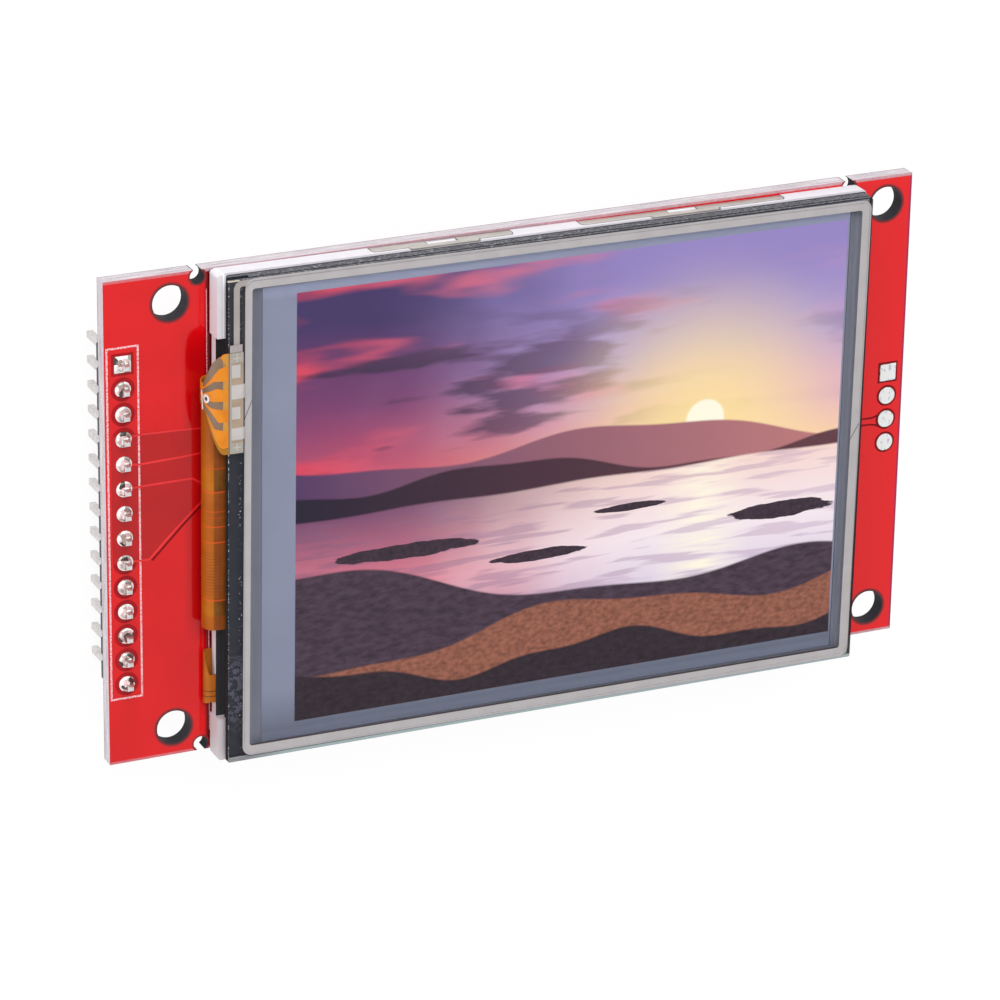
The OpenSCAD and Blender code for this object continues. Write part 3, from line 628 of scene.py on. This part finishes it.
def make_finishes():
    """Every finish by its slot's name, or by its own where one node or print has it alone."""
    return {
        "red_laminate": board_finish(),
        "black_plastic": plain("black_plastic", srgb(30, 30, 33), 0.45),
        "plated_pin": metal("tin_plate", srgb(226, 222, 220), srgb(204, 200, 200), 0.34),
        "solder": solder_finish(),
        "tape": plain("black_tape", srgb(30, 30, 34), 0.55),
        "stamped_steel": metal("stamped_steel", srgb(214, 209, 203), srgb(196, 190, 184), 0.38, 0.06,
                               (0.3, 1, 1)),
        "white_plastic": white_frame(),
        "white_film": plain("white_film", srgb(238, 238, 238), 0.6),
        "clear_plastic": plain("light_guide", srgb(222, 228, 232), 0.12),
        "clear_film": see_through("clear_film", srgb(196, 198, 204), srgb(150, 150, 154), 0.25,
                                  srgb(60, 60, 66)),
        "prism": plain("prism_sheet", srgb(196, 198, 202), 0.3),
        "amber_flex": flex_finish(),
        "orange_flex": tail_finish(),
        "lamp_body": plain("lamp_body", srgb(238, 226, 150), 0.35),
        "dark_film": plain("dark_film", srgb(52, 54, 62), 0.25),
        "display_glass": dark_glass("dark_glass", srgb(44, 46, 54), srgb(90, 90, 96)),
        "touch_glass": see_through("clear_glass", srgb(150, 158, 166), srgb(94, 93, 99), 0.96,
                                   srgb(26, 26, 31), srgb(158, 172, 174)),
        "silicon": plain("driver_chip", srgb(60, 60, 66), 0.15),
        "gold_contact": metal("gold_plate", srgb(222, 180, 96), srgb(206, 160, 80), 0.28),
        "chip_plastic": plain("chip_plastic", srgb(38, 38, 38), 0.6, depth=0.006),
        "tinned_lead": metal("tinned_lead", srgb(214, 214, 212), srgb(190, 190, 188), 0.3),
        "tan_ceramic": plain("tan_ceramic", srgb(176, 140, 100), 0.5),
        "resistor_body": plain("resistor_body", srgb(42, 42, 46), 0.35),
        "lit_screen": picture_finish(),
        "gasket": ledge_and_gasket(),
        "veil": plain("veil", srgb(164, 154, 152), 0.4, srgb(148, 138, 138), 0.05),
        "gap_ink": plain("gap_ink", srgb(146, 140, 140), 0.6, srgb(134, 128, 128)),
        "lead_ink": plain("lead_ink", srgb(160, 153, 150), 0.6, srgb(152, 145, 142), 0.1, 0.003,
                          Specular_IOR_Level=0.2),
        "silver_ink": plain("silver_ink", srgb(172, 167, 168), 0.6, srgb(166, 161, 162), 0.1, 0.003,
                            Specular_IOR_Level=0.2),
        "white_ink": white_ink("white_ink", srgb(236, 196, 200), srgb(214, 110, 116)),
        "fine_ink": white_ink("fine_ink", srgb(226, 160, 164), srgb(200, 84, 90)),
        # mask over traces, painted lighter than the board as the highlight on their raised tops
        "trace": masked("mask_over_trace", srgb(222, 44, 46), srgb(206, 26, 30)),
        "pour": masked("mask_over_copper", srgb(176, 6, 12), srgb(168, 4, 10)),
        "gap": masked("mask_in_gap", srgb(122, 10, 18), srgb(108, 8, 14), 0.1),
        "moat": masked("mask_round_pad", srgb(164, 16, 24), srgb(150, 12, 20), 0.15),
        "pad_face": pad_face_finish(),
        "hole_shade": plain("hole_shade", srgb(46, 34, 38), 0.6),
        # painted shadow for the thin gaps round the shield's flanges
        "gap_shadow": plain("gap_shadow", srgb(84, 76, 74), 0.6),
        "brown_trace": plain("brown_trace", srgb(120, 95, 74), 0.4),
        "tan_film": plain("tan_film", srgb(160, 141, 121), 0.5),
        "golden_film": plain("golden_film", srgb(196, 134, 44), 0.4),
        "pale_ink": plain("pale_ink", srgb(232, 228, 224), 0.5),
        "pale_pad": plain("pale_pad", srgb(184, 178, 176), 0.5, srgb(176, 170, 168)),
    }


SLOT_OF_NODE = {row["node"]: row["material_slot"] for row in frame["record"]["subparts"]}
OWN_FINISH = {
    "front_polariser": "lit_screen", "touch_gasket": "gasket", "touch_glass": "touch_glass",
    "lower_prism_sheet": "prism", "upper_prism_sheet": "prism",
}


def dress_nodes(finish):
    """Gives each CAD node its finish; the clear sheets cast no shadow on what shows through them."""
    for name, obj in nodes.items():
        mat = finish[OWN_FINISH.get(name, SLOT_OF_NODE[name])]
        obj.data.materials.clear()
        obj.data.materials.append(mat)
    for name in ("touch_glass", "touch_film"):
        nodes[name].visible_shadow = False


# ---------------------------------------------------------------- making pieces


def piece(name, mesh, mat):
    """Cleans the mesh and makes it an object with its finish, fixed to the part."""
    mesh.name = name
    obj = bpy.data.objects.new(name, mesh)
    bpy.context.scene.collection.objects.link(obj)
    bm = bmesh.new()
    bm.from_mesh(mesh)
    bmesh.ops.remove_doubles(bm, verts=bm.verts, dist=0.0005 * MM)
    bmesh.ops.recalc_face_normals(bm, faces=bm.faces)
    bm.to_mesh(mesh)
    bm.free()
    mesh.materials.clear()
    mesh.materials.append(mat)
    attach(obj, "root")


def settled_mesh(holder):
    """A plain mesh of what the holder's curve or modifier makes; the holder is removed."""
    bpy.context.scene.collection.objects.link(holder)
    mesh = bpy.data.meshes.new_from_object(holder.evaluated_get(bpy.context.evaluated_depsgraph_get()))
    bpy.data.objects.remove(holder)
    return mesh


def flat_shape(name, loops, z, thick, mat, place=None):
    """Flat plates from closed outlines in millimetres; an outline inside another one is a hole."""
    curve = bpy.data.curves.new(name, "CURVE")
    curve.dimensions = "2D"
    curve.fill_mode = "BOTH"
    curve.extrude = thick / 2
    for loop in loops:
        spline = curve.splines.new("POLY")
        spline.points.add(len(loop) - 1)
        for point, (x, y) in zip(spline.points, loop):
            point.co = (x, y, 0, 1)
        spline.use_cyclic_u = True
    mesh = settled_mesh(bpy.data.objects.new(name + "_outline", curve))
    mesh.transform(Matrix.Scale(MM, 4) @ Matrix.Translation((0, 0, z + thick / 2)))
    if place:
        mesh.transform(place)
    piece(name, mesh, mat)


def box_loop(x0, x1, y0, y1, r=0.0, steps=6):
    """Outline of a rectangle, with rounded corners if they have a radius."""
    if r <= 0:
        return [(x0, y0), (x1, y0), (x1, y1), (x0, y1)]
    corners = ((x1 - r, y0 + r, -90), (x1 - r, y1 - r, 0), (x0 + r, y1 - r, 90), (x0 + r, y0 + r, 180))
    loop = []
    for cx, cy, start in corners:
        for k in range(steps + 1):
            a = math.radians(start + 90 * k / steps)
            loop.append((cx + r * math.cos(a), cy + r * math.sin(a)))
    return loop


def cross_loop(x, y, arm, half):
    """Outline of an upright cross, with the length of an arm and half of its width."""
    corners = [(half, half), (arm, half), (arm, -half), (half, -half)]
    loop = []
    for _ in range(4):
        loop += [(x + a, y + b) for a, b in corners[:3]]
        corners = [(b, -a) for a, b in corners]
    return loop


def line_loop(points, width, end_width=None):
    """Outline of a flat line through the points, of even width or tapering to its end width."""
    left, right = [], []
    last = len(points) - 1
    for i, p in enumerate(points):
        before = Vector(points[max(i - 1, 0)])
        after = Vector(points[min(i + 1, last)])
        here = Vector(p)
        a = (here - before).normalized() if i else (after - here).normalized()
        b = (after - here).normalized() if i < last else a
        side = Vector((-(a + b).y, (a + b).x)).normalized()
        wide = width if end_width is None else width + (end_width - width) * i / last
        spread = wide / 2 / max(0.3, side.dot(Vector((-a.y, a.x))))
        left.append(tuple(here + side * spread))
        right.append(tuple(here - side * spread))
    return left + right[::-1]


def disc_row(name, start, step, count, radius, thick, mat, square=False):
    """A row of flat discs or squares from geometry nodes; sizes in millimetres are its inputs."""
    tree = bpy.data.node_groups.new(name + "_maker", "GeometryNodeTree")
    kinds = {"Count": "NodeSocketInt", "Start": "NodeSocketVector", "Step": "NodeSocketVector",
             "Radius": "NodeSocketFloat", "Thickness": "NodeSocketFloat"}
    tree.interface.new_socket("Geometry", in_out="INPUT", socket_type="NodeSocketGeometry")
    tree.interface.new_socket("Geometry", in_out="OUTPUT", socket_type="NodeSocketGeometry")
    ids = {}
    for label, kind in kinds.items():
        ids[label] = tree.interface.new_socket(label, in_out="INPUT", socket_type=kind).identifier

    def node(kind, **props):
        made = tree.nodes.new(kind)
        for key, value in props.items():
            setattr(made, key, value)
        return made

    link = tree.links.new
    given = node("NodeGroupInput").outputs
    line = node("GeometryNodeMeshLine", mode="OFFSET", count_mode="TOTAL")
    link(given["Count"], line.inputs["Count"])
    link(given["Start"], line.inputs["Start Location"])
    link(given["Step"], line.inputs["Offset"])
    circle = node("GeometryNodeCurvePrimitiveCircle")
    circle.inputs["Resolution"].default_value = 4 if square else 40
    link(given["Radius"], circle.inputs["Radius"])
    turned = node("GeometryNodeTransform")
    turned.inputs["Rotation"].default_value = (0, 0, math.radians(45))
    link(circle.outputs["Curve"], turned.inputs["Geometry"])
    fill = node("GeometryNodeFillCurve")
    link(turned.outputs[0], fill.inputs[0])
    raised = node("GeometryNodeExtrudeMesh")
    raised.inputs["Individual"].default_value = False
    link(fill.outputs[0], raised.inputs["Mesh"])
    link(given["Thickness"], raised.inputs["Offset Scale"])
    under = node("GeometryNodeFlipFaces")
    link(fill.outputs[0], under.inputs[0])
    whole = node("GeometryNodeJoinGeometry")
    link(raised.outputs["Mesh"], whole.inputs[0])
    link(under.outputs[0], whole.inputs[0])
    spread = node("GeometryNodeInstanceOnPoints")
    link(line.outputs[0], spread.inputs["Points"])
    link(whole.outputs[0], spread.inputs["Instance"])
    real = node("GeometryNodeRealizeInstances")
    link(spread.outputs[0], real.inputs[0])
    painted = node("GeometryNodeSetMaterial")
    painted.inputs["Material"].default_value = mat
    link(real.outputs[0], painted.inputs["Geometry"])
    link(painted.outputs[0], node("NodeGroupOutput").inputs[0])

    holder = bpy.data.objects.new(name, bpy.data.meshes.new(name + "_seed"))
    made = holder.modifiers.new(name, "NODES")
    made.node_group = tree
    to_corner = math.sqrt(2) if square else 1.0
    values = {"Count": count, "Start": tuple(v * MM for v in start), "Step": tuple(v * MM for v in step),
              "Radius": radius * to_corner * MM, "Thickness": thick * MM}
    for label, value in values.items():
        made[ids[label]] = value
    piece(name, settled_mesh(holder), mat)


def tail_point(s, y, lift):
    """A point on the touch tail's outer side; s runs along the fold from the glass edge."""
    if s <= 0:
        return (TAIL_X - s, y, TOUCH_TOP + 0.1 + lift)
    turn = s / TAIL_R
    if turn > math.pi:
        return (TAIL_X + (s - math.pi * TAIL_R), y, -lift)
    r = TAIL_R + lift
    return (TAIL_X - r * math.sin(turn), y, TAIL_R + r * math.cos(turn))


def wrapped(name, loops, mat, lift=0.012, step=0.12):
    """Print on the touch tail: outlines in (s, y), laid over the fold with a little thickness."""
    bm = bmesh.new()
    for loop in loops:
        bottom = [bm.verts.new((s, y, 0)) for s, y in loop]
        bm.faces.new(bottom)
    bmesh.ops.triangulate(bm, faces=bm.faces)
    low = min(v.co.x for v in bm.verts)
    high = max(v.co.x for v in bm.verts)
    cut = low + step
    while cut < high:
        geom = list(bm.verts) + list(bm.edges) + list(bm.faces)
        bmesh.ops.bisect_plane(bm, geom=geom, plane_co=(cut, 0, 0), plane_no=(1, 0, 0))
        cut += step
    top = bmesh.ops.extrude_face_region(bm, geom=list(bm.faces))
    raised = {v for v in top["geom"] if isinstance(v, bmesh.types.BMVert)}
    for v in bm.verts:
        v.co = Vector(tail_point(v.co.x, v.co.y, lift if v in raised else 0.001)) * MM
    mesh = bpy.data.meshes.new(name)
    bm.to_mesh(mesh)
    bm.free()
    mesh.transform(LCD_PLACE)
    piece(name, mesh, mat)


# ---------------------------------------------------------------- board


def pin_y(i, count):
    """Place along Y of one hole in a row, counted from the upper end."""
    return ((count - 1) / 2 - i) * PIN_PITCH


def board_print(finish):
    """White outline round the header, and a fine line along the display."""
    thick = 0.02
    outline = [box_loop(-44.73, -41.41, -18.1, 18.28), box_loop(-44.54, -41.6, -17.91, 18.09)]
    flat_shape("board_print", outline, BOARD_TOP, thick, finish["white_ink"])
    line = [line_loop([(-34.55, 22.9), (-34.55, -22.9)], 0.09)]
    flat_shape("display_line", line, BOARD_TOP, thick, finish["fine_ink"])


def board_copper(finish):
    """Traces, gaps and the poured field that show through the mask."""
    runs = [
        [(PIN_X, 8.89), (-41.6, 9.15), (-37.3, 9.0), (-34.4, 8.85)],
        [(PIN_X, 6.35), (-41.6, 6.1), (-37.3, 6.22), (-34.4, 6.38)],
        [(PIN_X, 3.81), (-36.15, 3.86), (-35.3, 3.3), (-34.6, 2.8)],
        [(PIN_X, -3.81), (-40.6, -3.85), (-37.42, -0.68), (-35.14, 1.35), (-34.5, 1.9)],
    ]
    flat_shape("board_traces", [line_loop(r, 0.2) for r in runs], BOARD_TOP, 0.03, finish["trace"])
    pour = [(-44.3, 9.3), (-41.6, 9.3), (-34.7, 9.0), (-34.7, 1.8), (-40.55, -3.8), (-44.3, -3.8)]
    flat_shape("board_pour", [pour], BOARD_TOP, 0.012, finish["pour"])
    gaps = [
        line_loop([(-40.3, -4.0), (-37.2, -0.9), (-34.5, 1.6)], 0.2),
        line_loop([(38.6, -0.72), (37.82, -0.97), (36.5, -0.95), (34.9, -1.0)], 0.2, 0.16),
        line_loop([(39.0, -2.18), (38.2, -1.8), (37.6, -1.66), (34.9, -1.62)], 0.2, 0.16),
    ]
    flat_shape("board_gaps", gaps, BOARD_TOP, 0.016, finish["gap"])

    # rings of thin mask round the pads; the first pad of each row is square
    ring = 0.008
    for row, x, count, half, radius, colour in (
            ("header", PIN_X, PIN_COUNT, 1.12, 1.2, finish["moat"]),
            ("side", SIDE_X, SIDE_COUNT, 1.1, 1.12, finish["gap"])):
        first = pin_y(0, count)
        disc_row(row + "_ring_1", (x, first, BOARD_TOP), PIN_STEP, 1, half, ring, colour,
                 True)
        disc_row(row + "_rings", (x, first - PIN_PITCH, BOARD_TOP), PIN_STEP, count - 1, radius, ring, colour)

    # flat faces of the four filled holes
    first = pin_y(0, SIDE_COUNT)
    face_z = BOARD_TOP + 0.08
    disc_row("side_faces", (SIDE_X, first - PIN_PITCH, face_z), PIN_STEP, SIDE_COUNT - 1, 0.86, 0.012,
             finish["pad_face"])
    disc_row("side_face_1", (SIDE_X, first, face_z), PIN_STEP, 1, 0.86, 0.012, finish["pad_face"],
             True)


def back_pads(finish):
    """Solder pads under the parts on the hidden side, each given by its middle and its size."""
    pads = []
    for side in (-1, 1):
        pads += [(-22 + side * 2.95, -11 + (k - 3.5) * 0.65, 1.5, 0.4) for k in range(8)]
        pads += [(17 + side * 15.0, y, 2.2, 2.4) for y in (-20.6, -3.6)]
    for x, y in ((-37, 5.5), (-29, 5.5)):
        pads += [(x, y + 0.95, 1.5, 1.1), (x, y - 0.95, 1.5, 1.1)]
    for x, y in ((-17, -17), (-27, -17)):
        pads += [(x + 0.95, y, 1.1, 1.5), (x - 0.95, y, 1.1, 1.5)]
    for k in range(6):
        pads += [(-30 + k * 2.6, 0.75, 1.0, 0.8), (-30 + k * 2.6, -0.75, 1.0, 0.8)]
    pads += [(17 + (k - 4) * 2.5, 1.85, 1.2, 1.9) for k in range(9)]
    for dx, dy in ((-0.95, 1.15), (0.95, 1.15), (0, -1.15)):
        pads += [(-33 + dx, 10 + dy, 0.8, 1.0), (-12 - dy, 10 + dx, 1.0, 0.8)]
    loops = [box_loop(x - w / 2, x + w / 2, y - h / 2, y + h / 2) for x, y, w, h in pads]
    flat_shape("back_pads", loops, -0.03, 0.03, finish["solder"])


def back_print(finish):
    """White outlines round the parts on the hidden side."""
    frames = [
        (-26.2, -17.8, -14.4, -7.6), (-38.2, -35.8, 3.6, 7.4), (-30.2, -27.8, 3.6, 7.4),
        (-18.9, -15.1, -18.2, -15.8), (-28.9, -25.1, -18.2, -15.8), (-35.0, -31.0, 8.0, 12.0),
        (-14.2, -9.8, 8.0, 12.0),
    ]
    wide = 0.15
    loops = []
    for x0, x1, y0, y1 in frames:
        loops += [box_loop(x0, x1, y0, y1), box_loop(x0 + wide, x1 - wide, y0 + wide, y1 - wide)]
    flat_shape("back_print", loops, -0.02, 0.02, finish["white_ink"])


def back_copper(finish):
    """Traces, filled holes and small through-holes on the hidden side."""
    runs = [
        [(-41.2, 6.35), (-37.8, 6.35)], [(-41.2, 3.81), (-30.4, 3.81), (-29.9, 4.5)],
        [(-41.2, 1.27), (-33, 1.27), (-30, 0.9)], [(-41.2, -1.27), (-34, -1.27), (-30, -0.9)],
        [(-41.2, -3.81), (-30, -3.81), (-26, -8.7), (-25.2, -8.7)],
        [(-41.2, -6.35), (-31, -6.35), (-27.2, -10.0), (-25.2, -10.0)],
        [(-41.2, -8.89), (-32, -8.89), (-28.8, -12), (-25.2, -12)],
        [(-19.2, -9.4), (-8, -9.4), (-4, 1.2), (7, 1.8)],
        [(-19.2, -12.6), (-6, -12.6), (-2, -6), (1.5, 0.5)],
        [(-24.4, 0.9), (-24.4, 6), (-14, 9.1)], [(-21.8, -0.9), (-21.8, -6), (-19.5, -8.7)],
    ]
    flat_shape("back_traces", [line_loop(r, 0.26) for r in runs], -0.014, 0.014, finish["trace"])
    disc_row("back_side_rings", (SIDE_X, pin_y(0, SIDE_COUNT), -0.03), PIN_STEP, SIDE_COUNT, 0.9, 0.03,
             finish["solder"])
    for name, start, step, count in (
            ("vias_1", (-36, -4.9), (3.1, -0.2), 6), ("vias_2", (-8, -3), (0, 3.4), 5),
            ("vias_3", (-30, 18), (6.4, 0.3), 9), ("vias_4", (4, 8), (4.4, 1.1), 7)):
        disc_row(name, (*start, -0.016), (*step, 0), count, 0.3, 0.016, finish["trace"])


# ---------------------------------------------------------------- display


def touch_print(finish):
    """Silver conductors printed between the touch glass and its film, the dark gaps beside them, and painted
    shadow lines at the ring's edges.
    """
    def lay(name, loops, thick, ink, place=LCD_PLACE):
        flat_shape(name, loops, TOUCH_TOP, thick, finish[ink], place)

    lay("touch_border", [box_loop(*RING_OUTER, 1.0), box_loop(*RING_INNER, 0.3)], 0.03, "silver_ink",
        RING_PLACE)
    lead = [(-33.26, 17.8), (-33.26, 24.15), (-33.12, 24.45), (-32.8, 24.62), (-31.4, 24.66)]
    lay("touch_lead", [line_loop(lead, 0.6)], 0.024, "lead_ink")
    joins = [box_loop(-32.62, -32.2, 13.14, 14.56), box_loop(-32.62, -32.2, 8.98, 10.2)]
    lay("touch_joins", joins, 0.022, "pale_pad")
    splits = [[(-31.72, 12.76), (-32.5, 10.9)], [(34.0, 0.96), (33.1, -0.6)]]
    lay("touch_splits", [line_loop(split, 0.06) for split in splits], 0.045, "hole_shade")
    lay("touch_seams", [line_loop([(-32.62, 23.6), (-32.62, 18.0)], 0.12)], 0.02, "hole_shade")
    lead_gap = line_loop([(-31.9, 24.6), (33.4, 24.6)], 0.08)
    lay("touch_lead_gap", [lead_gap], 0.035, "gap_ink", RING_PLACE)
    # painted shadow lines beside the ring's right edge and along its lower inner edge
    right_line = line_loop([(34.17, -23), (34.17, 23.9)], 0.07)
    lower_line = line_loop([(-31.6, -23.34), (33.0, -23.34)], 0.16)
    lay("touch_rim_shadows", [right_line, lower_line], 0.02, "hole_shade", RING_PLACE)


def flange_edges(finish):
    """Painted shadow: thin dark strips in the gaps round the shield's flanges and windows on the display's
    long sides.
    """
    wide, low, top = 0.07, 1.45, 1.86
    slot_x, slot_low, slot_top = 1.6, 0.4, 1.1
    loops = []
    for middle, half, tab in ((-11, 7.4, 3.45), (14.7, 11.1, 3.55)):
        rise = [(half, 0.3), (half, low - 0.4), (half - 0.25, low), (tab + 0.25, low), (tab, top)]
        for side in (-1, 1):
            loops.append(line_loop([(middle + side * x, z) for x, z in rise], wide))
            x = middle + side * slot_x
            loops.append(line_loop([(x, slot_low), (x, slot_top)], wide))
    # dark strips painted as the shadow in the gaps
    for name, side in (("flange_gap_shadow_upper", 1), ("flange_gap_shadow_lower", -1)):
        out = Matrix.Translation((0, side * (LCD_HALF_Y + 0.005) * MM, 0))
        upright = Matrix.Rotation(side * math.radians(90), 4, "X")
        sided = [[(x, side * z) for x, z in loop] for loop in loops]
        flat_shape(name, sided, 0, 0.02, finish["gap_shadow"], LCD_PLACE @ out @ upright)


def tail_print(finish):
    """The touch tail's pads over the glass, and its conductors, which draw together at its neck."""
    def lay(name, loops, thick, film):
        flat_shape(name, loops, TOUCH_TOP + 0.1, thick, finish[film], LCD_PLACE)

    lay("tail_end", [box_loop(-33.98, -32.71, 17.86, 18.6)], 0.006, "veil")
    lay("tail_film", [box_loop(-33.8, -32.62, 8.7, 16.8)], 0.006, "tan_film")
    pads = [box_loop(-33.78, -32.92, 15.27, 16.58), box_loop(-33.82, -32.62, 13.14, 14.56),
            box_loop(-33.78, -32.92, 11.11, 12.33), box_loop(-33.82, -32.62, 8.98, 10.2)]
    pads += [cross_loop(-33.25, 17.25, 0.42, 0.06), cross_loop(-33.25, 8.22, 0.4, 0.06)]
    lay("tail_pads", pads, 0.016, "pale_pad")

    # round the fold: each conductor starts wide at the glass and narrows to the neck
    runs = [
        line_loop([(0.5, 17.1), (1.2, 16.6), (2.0, 15.25), (2.7, 14.25)], 1.15, 0.22),
        line_loop([(0.5, 14.66), (1.25, 14.66), (2.1, 14.1), (2.8, 13.72), (3.4, 13.6)], 0.85, 0.22),
        line_loop([(0.5, 12.62), (1.6, 12.62), (2.2, 12.86), (3.4, 13.05)], 0.85, 0.22),
        line_loop([(0.5, 10.5), (1.1, 10.55), (1.9, 11.7), (2.7, 12.45), (3.4, 12.6)], 0.85, 0.2),
    ]
    wrapped("tail_conductors", runs, finish["brown_trace"])
    ends = [box_loop(0.02, 0.5, y - half, y + half)
            for y, half in ((17.1, 0.58), (14.66, 0.42), (12.62, 0.42), (10.5, 0.42))]
    wrapped("tail_conductor_ends", ends, finish["golden_film"])

    def disc(r):
        turns = [math.radians(k * 15) for k in range(24)]
        return [(2.24 + r * math.cos(a), 13.12 + 1.15 * r * math.sin(a)) for a in turns]

    stripe = line_loop([(2.98, 13.8), (2.8, 11.9)], 0.2)
    wrapped("tail_mark", [disc(0.38), stripe], finish["pale_ink"], 0.03)
    wrapped("tail_hole", [disc(0.17)], finish["hole_shade"], 0.036)


# ---------------------------------------------------------------- studio


def make_stage(low):
    """A wide pale floor just under the part; it looks white and keeps the part's shadow."""
    floor_z = low.z - 0.0004
    mesh = bpy.data.meshes.new("floor")
    s = 4.0
    mesh.from_pydata([(-s, -s, floor_z), (s, -s, floor_z), (s, s, floor_z), (-s, s, floor_z)], [],
                     [(0, 1, 2, 3)])
    floor = bpy.data.objects.new("floor", mesh)
    bpy.context.scene.collection.objects.link(floor)
    f = Finish("floor_paint", (0.92, 0.92, 0.92, 1), 0.9)
    f.set("Specular IOR Level", 0.0)
    paths = f.node("ShaderNodeLightPath")
    seen = f.math("MAXIMUM", paths.outputs["Is Camera Ray"],
                  f.math("MAXIMUM", paths.outputs["Is Glossy Ray"], paths.outputs["Is Transmission Ray"]))
    glow = f.node("ShaderNodeEmission", (1, 1, 1, 1), 1.03)
    share = f.times(seen, 0.9)
    out = f.tree.nodes["Material Output"]
    mixed = f.node("ShaderNodeMixShader", share, f.shader.outputs[0], glow.outputs[0])
    f.tree.links.new(mixed.outputs[0], out.inputs["Surface"])
    mesh.materials.append(f.mat)


def make_world():
    """White where the camera sees it; in reflections it darkens towards the horizon."""
    world = bpy.data.worlds.new("studio")
    world.use_nodes = True
    bpy.context.scene.world = world
    tree = world.node_tree
    back = tree.nodes["Background"]
    back.inputs["Color"].default_value = (1, 1, 1, 1)
    paths = tree.nodes.new("ShaderNodeLightPath")
    place = tree.nodes.new("ShaderNodeTexCoord")
    parts = tree.nodes.new("ShaderNodeSeparateXYZ")
    tree.links.new(place.outputs["Generated"], parts.inputs[0])
    height = tree.nodes.new("ShaderNodeMapRange")
    for name, value in (("From Min", 0.02), ("From Max", 0.5), ("To Min", 0.2), ("To Max", 1.0)):
        height.inputs[name].default_value = value
    tree.links.new(parts.outputs[2], height.inputs["Value"])
    level = 0.62
    for ray, strength in (("Is Glossy Ray", height.outputs[0]), ("Is Camera Ray", 1.0)):
        pick = tree.nodes.new("ShaderNodeMix")
        tree.links.new(paths.outputs[ray], pick.inputs[0])
        for socket, value in ((pick.inputs[2], level), (pick.inputs[3], strength)):
            if isinstance(value, bpy.types.NodeSocket):
                tree.links.new(value, socket)
            else:
                socket.default_value = value
        level = pick.outputs[0]
    tree.links.new(level, back.inputs["Strength"])


def lamp(name, at, size, power):
    """A soft square light that faces the part's middle."""
    data = bpy.data.lights.new(name, "AREA")
    data.shape = "SQUARE"
    data.size = size
    data.energy = power
    obj = bpy.data.objects.new(name, data)
    obj.location = at
    obj.rotation_mode = "QUATERNION"
    obj.rotation_quaternion = Vector(at).to_track_quat("Z", "Y")
    bpy.context.scene.collection.objects.link(obj)


def make_camera():
    data = bpy.data.cameras.new("camera")
    data.lens = CAMERA_LENS
    data.sensor_width = 36.0
    data.clip_start, data.clip_end = 0.01, 20
    cam = bpy.data.objects.new("camera", data)
    back = CAMERA_RIGHT.cross(CAMERA_UP)
    turn = Matrix((CAMERA_RIGHT, CAMERA_UP, back)).transposed()
    cam.matrix_world = Matrix.Translation(CAMERA_AT) @ turn.to_4x4()
    bpy.context.scene.collection.objects.link(cam)
    bpy.context.scene.camera = cam


def main():
    finish = make_finishes()
    dress_nodes(finish)
    board_print(finish)
    board_copper(finish)
    back_pads(finish)
    back_print(finish)
    back_copper(finish)
    touch_print(finish)
    tail_print(finish)
    flange_edges(finish)
    make_stage(cad_box[0])
    make_world()
    lamp("key", (-0.1, 0.55, 0.5), 0.5, 4.2)
    lamp("side", (-0.65, 0.0, 0.25), 0.5, 1.7)
    make_camera()
    bpy.context.scene.view_settings.view_transform = "Standard"


main()
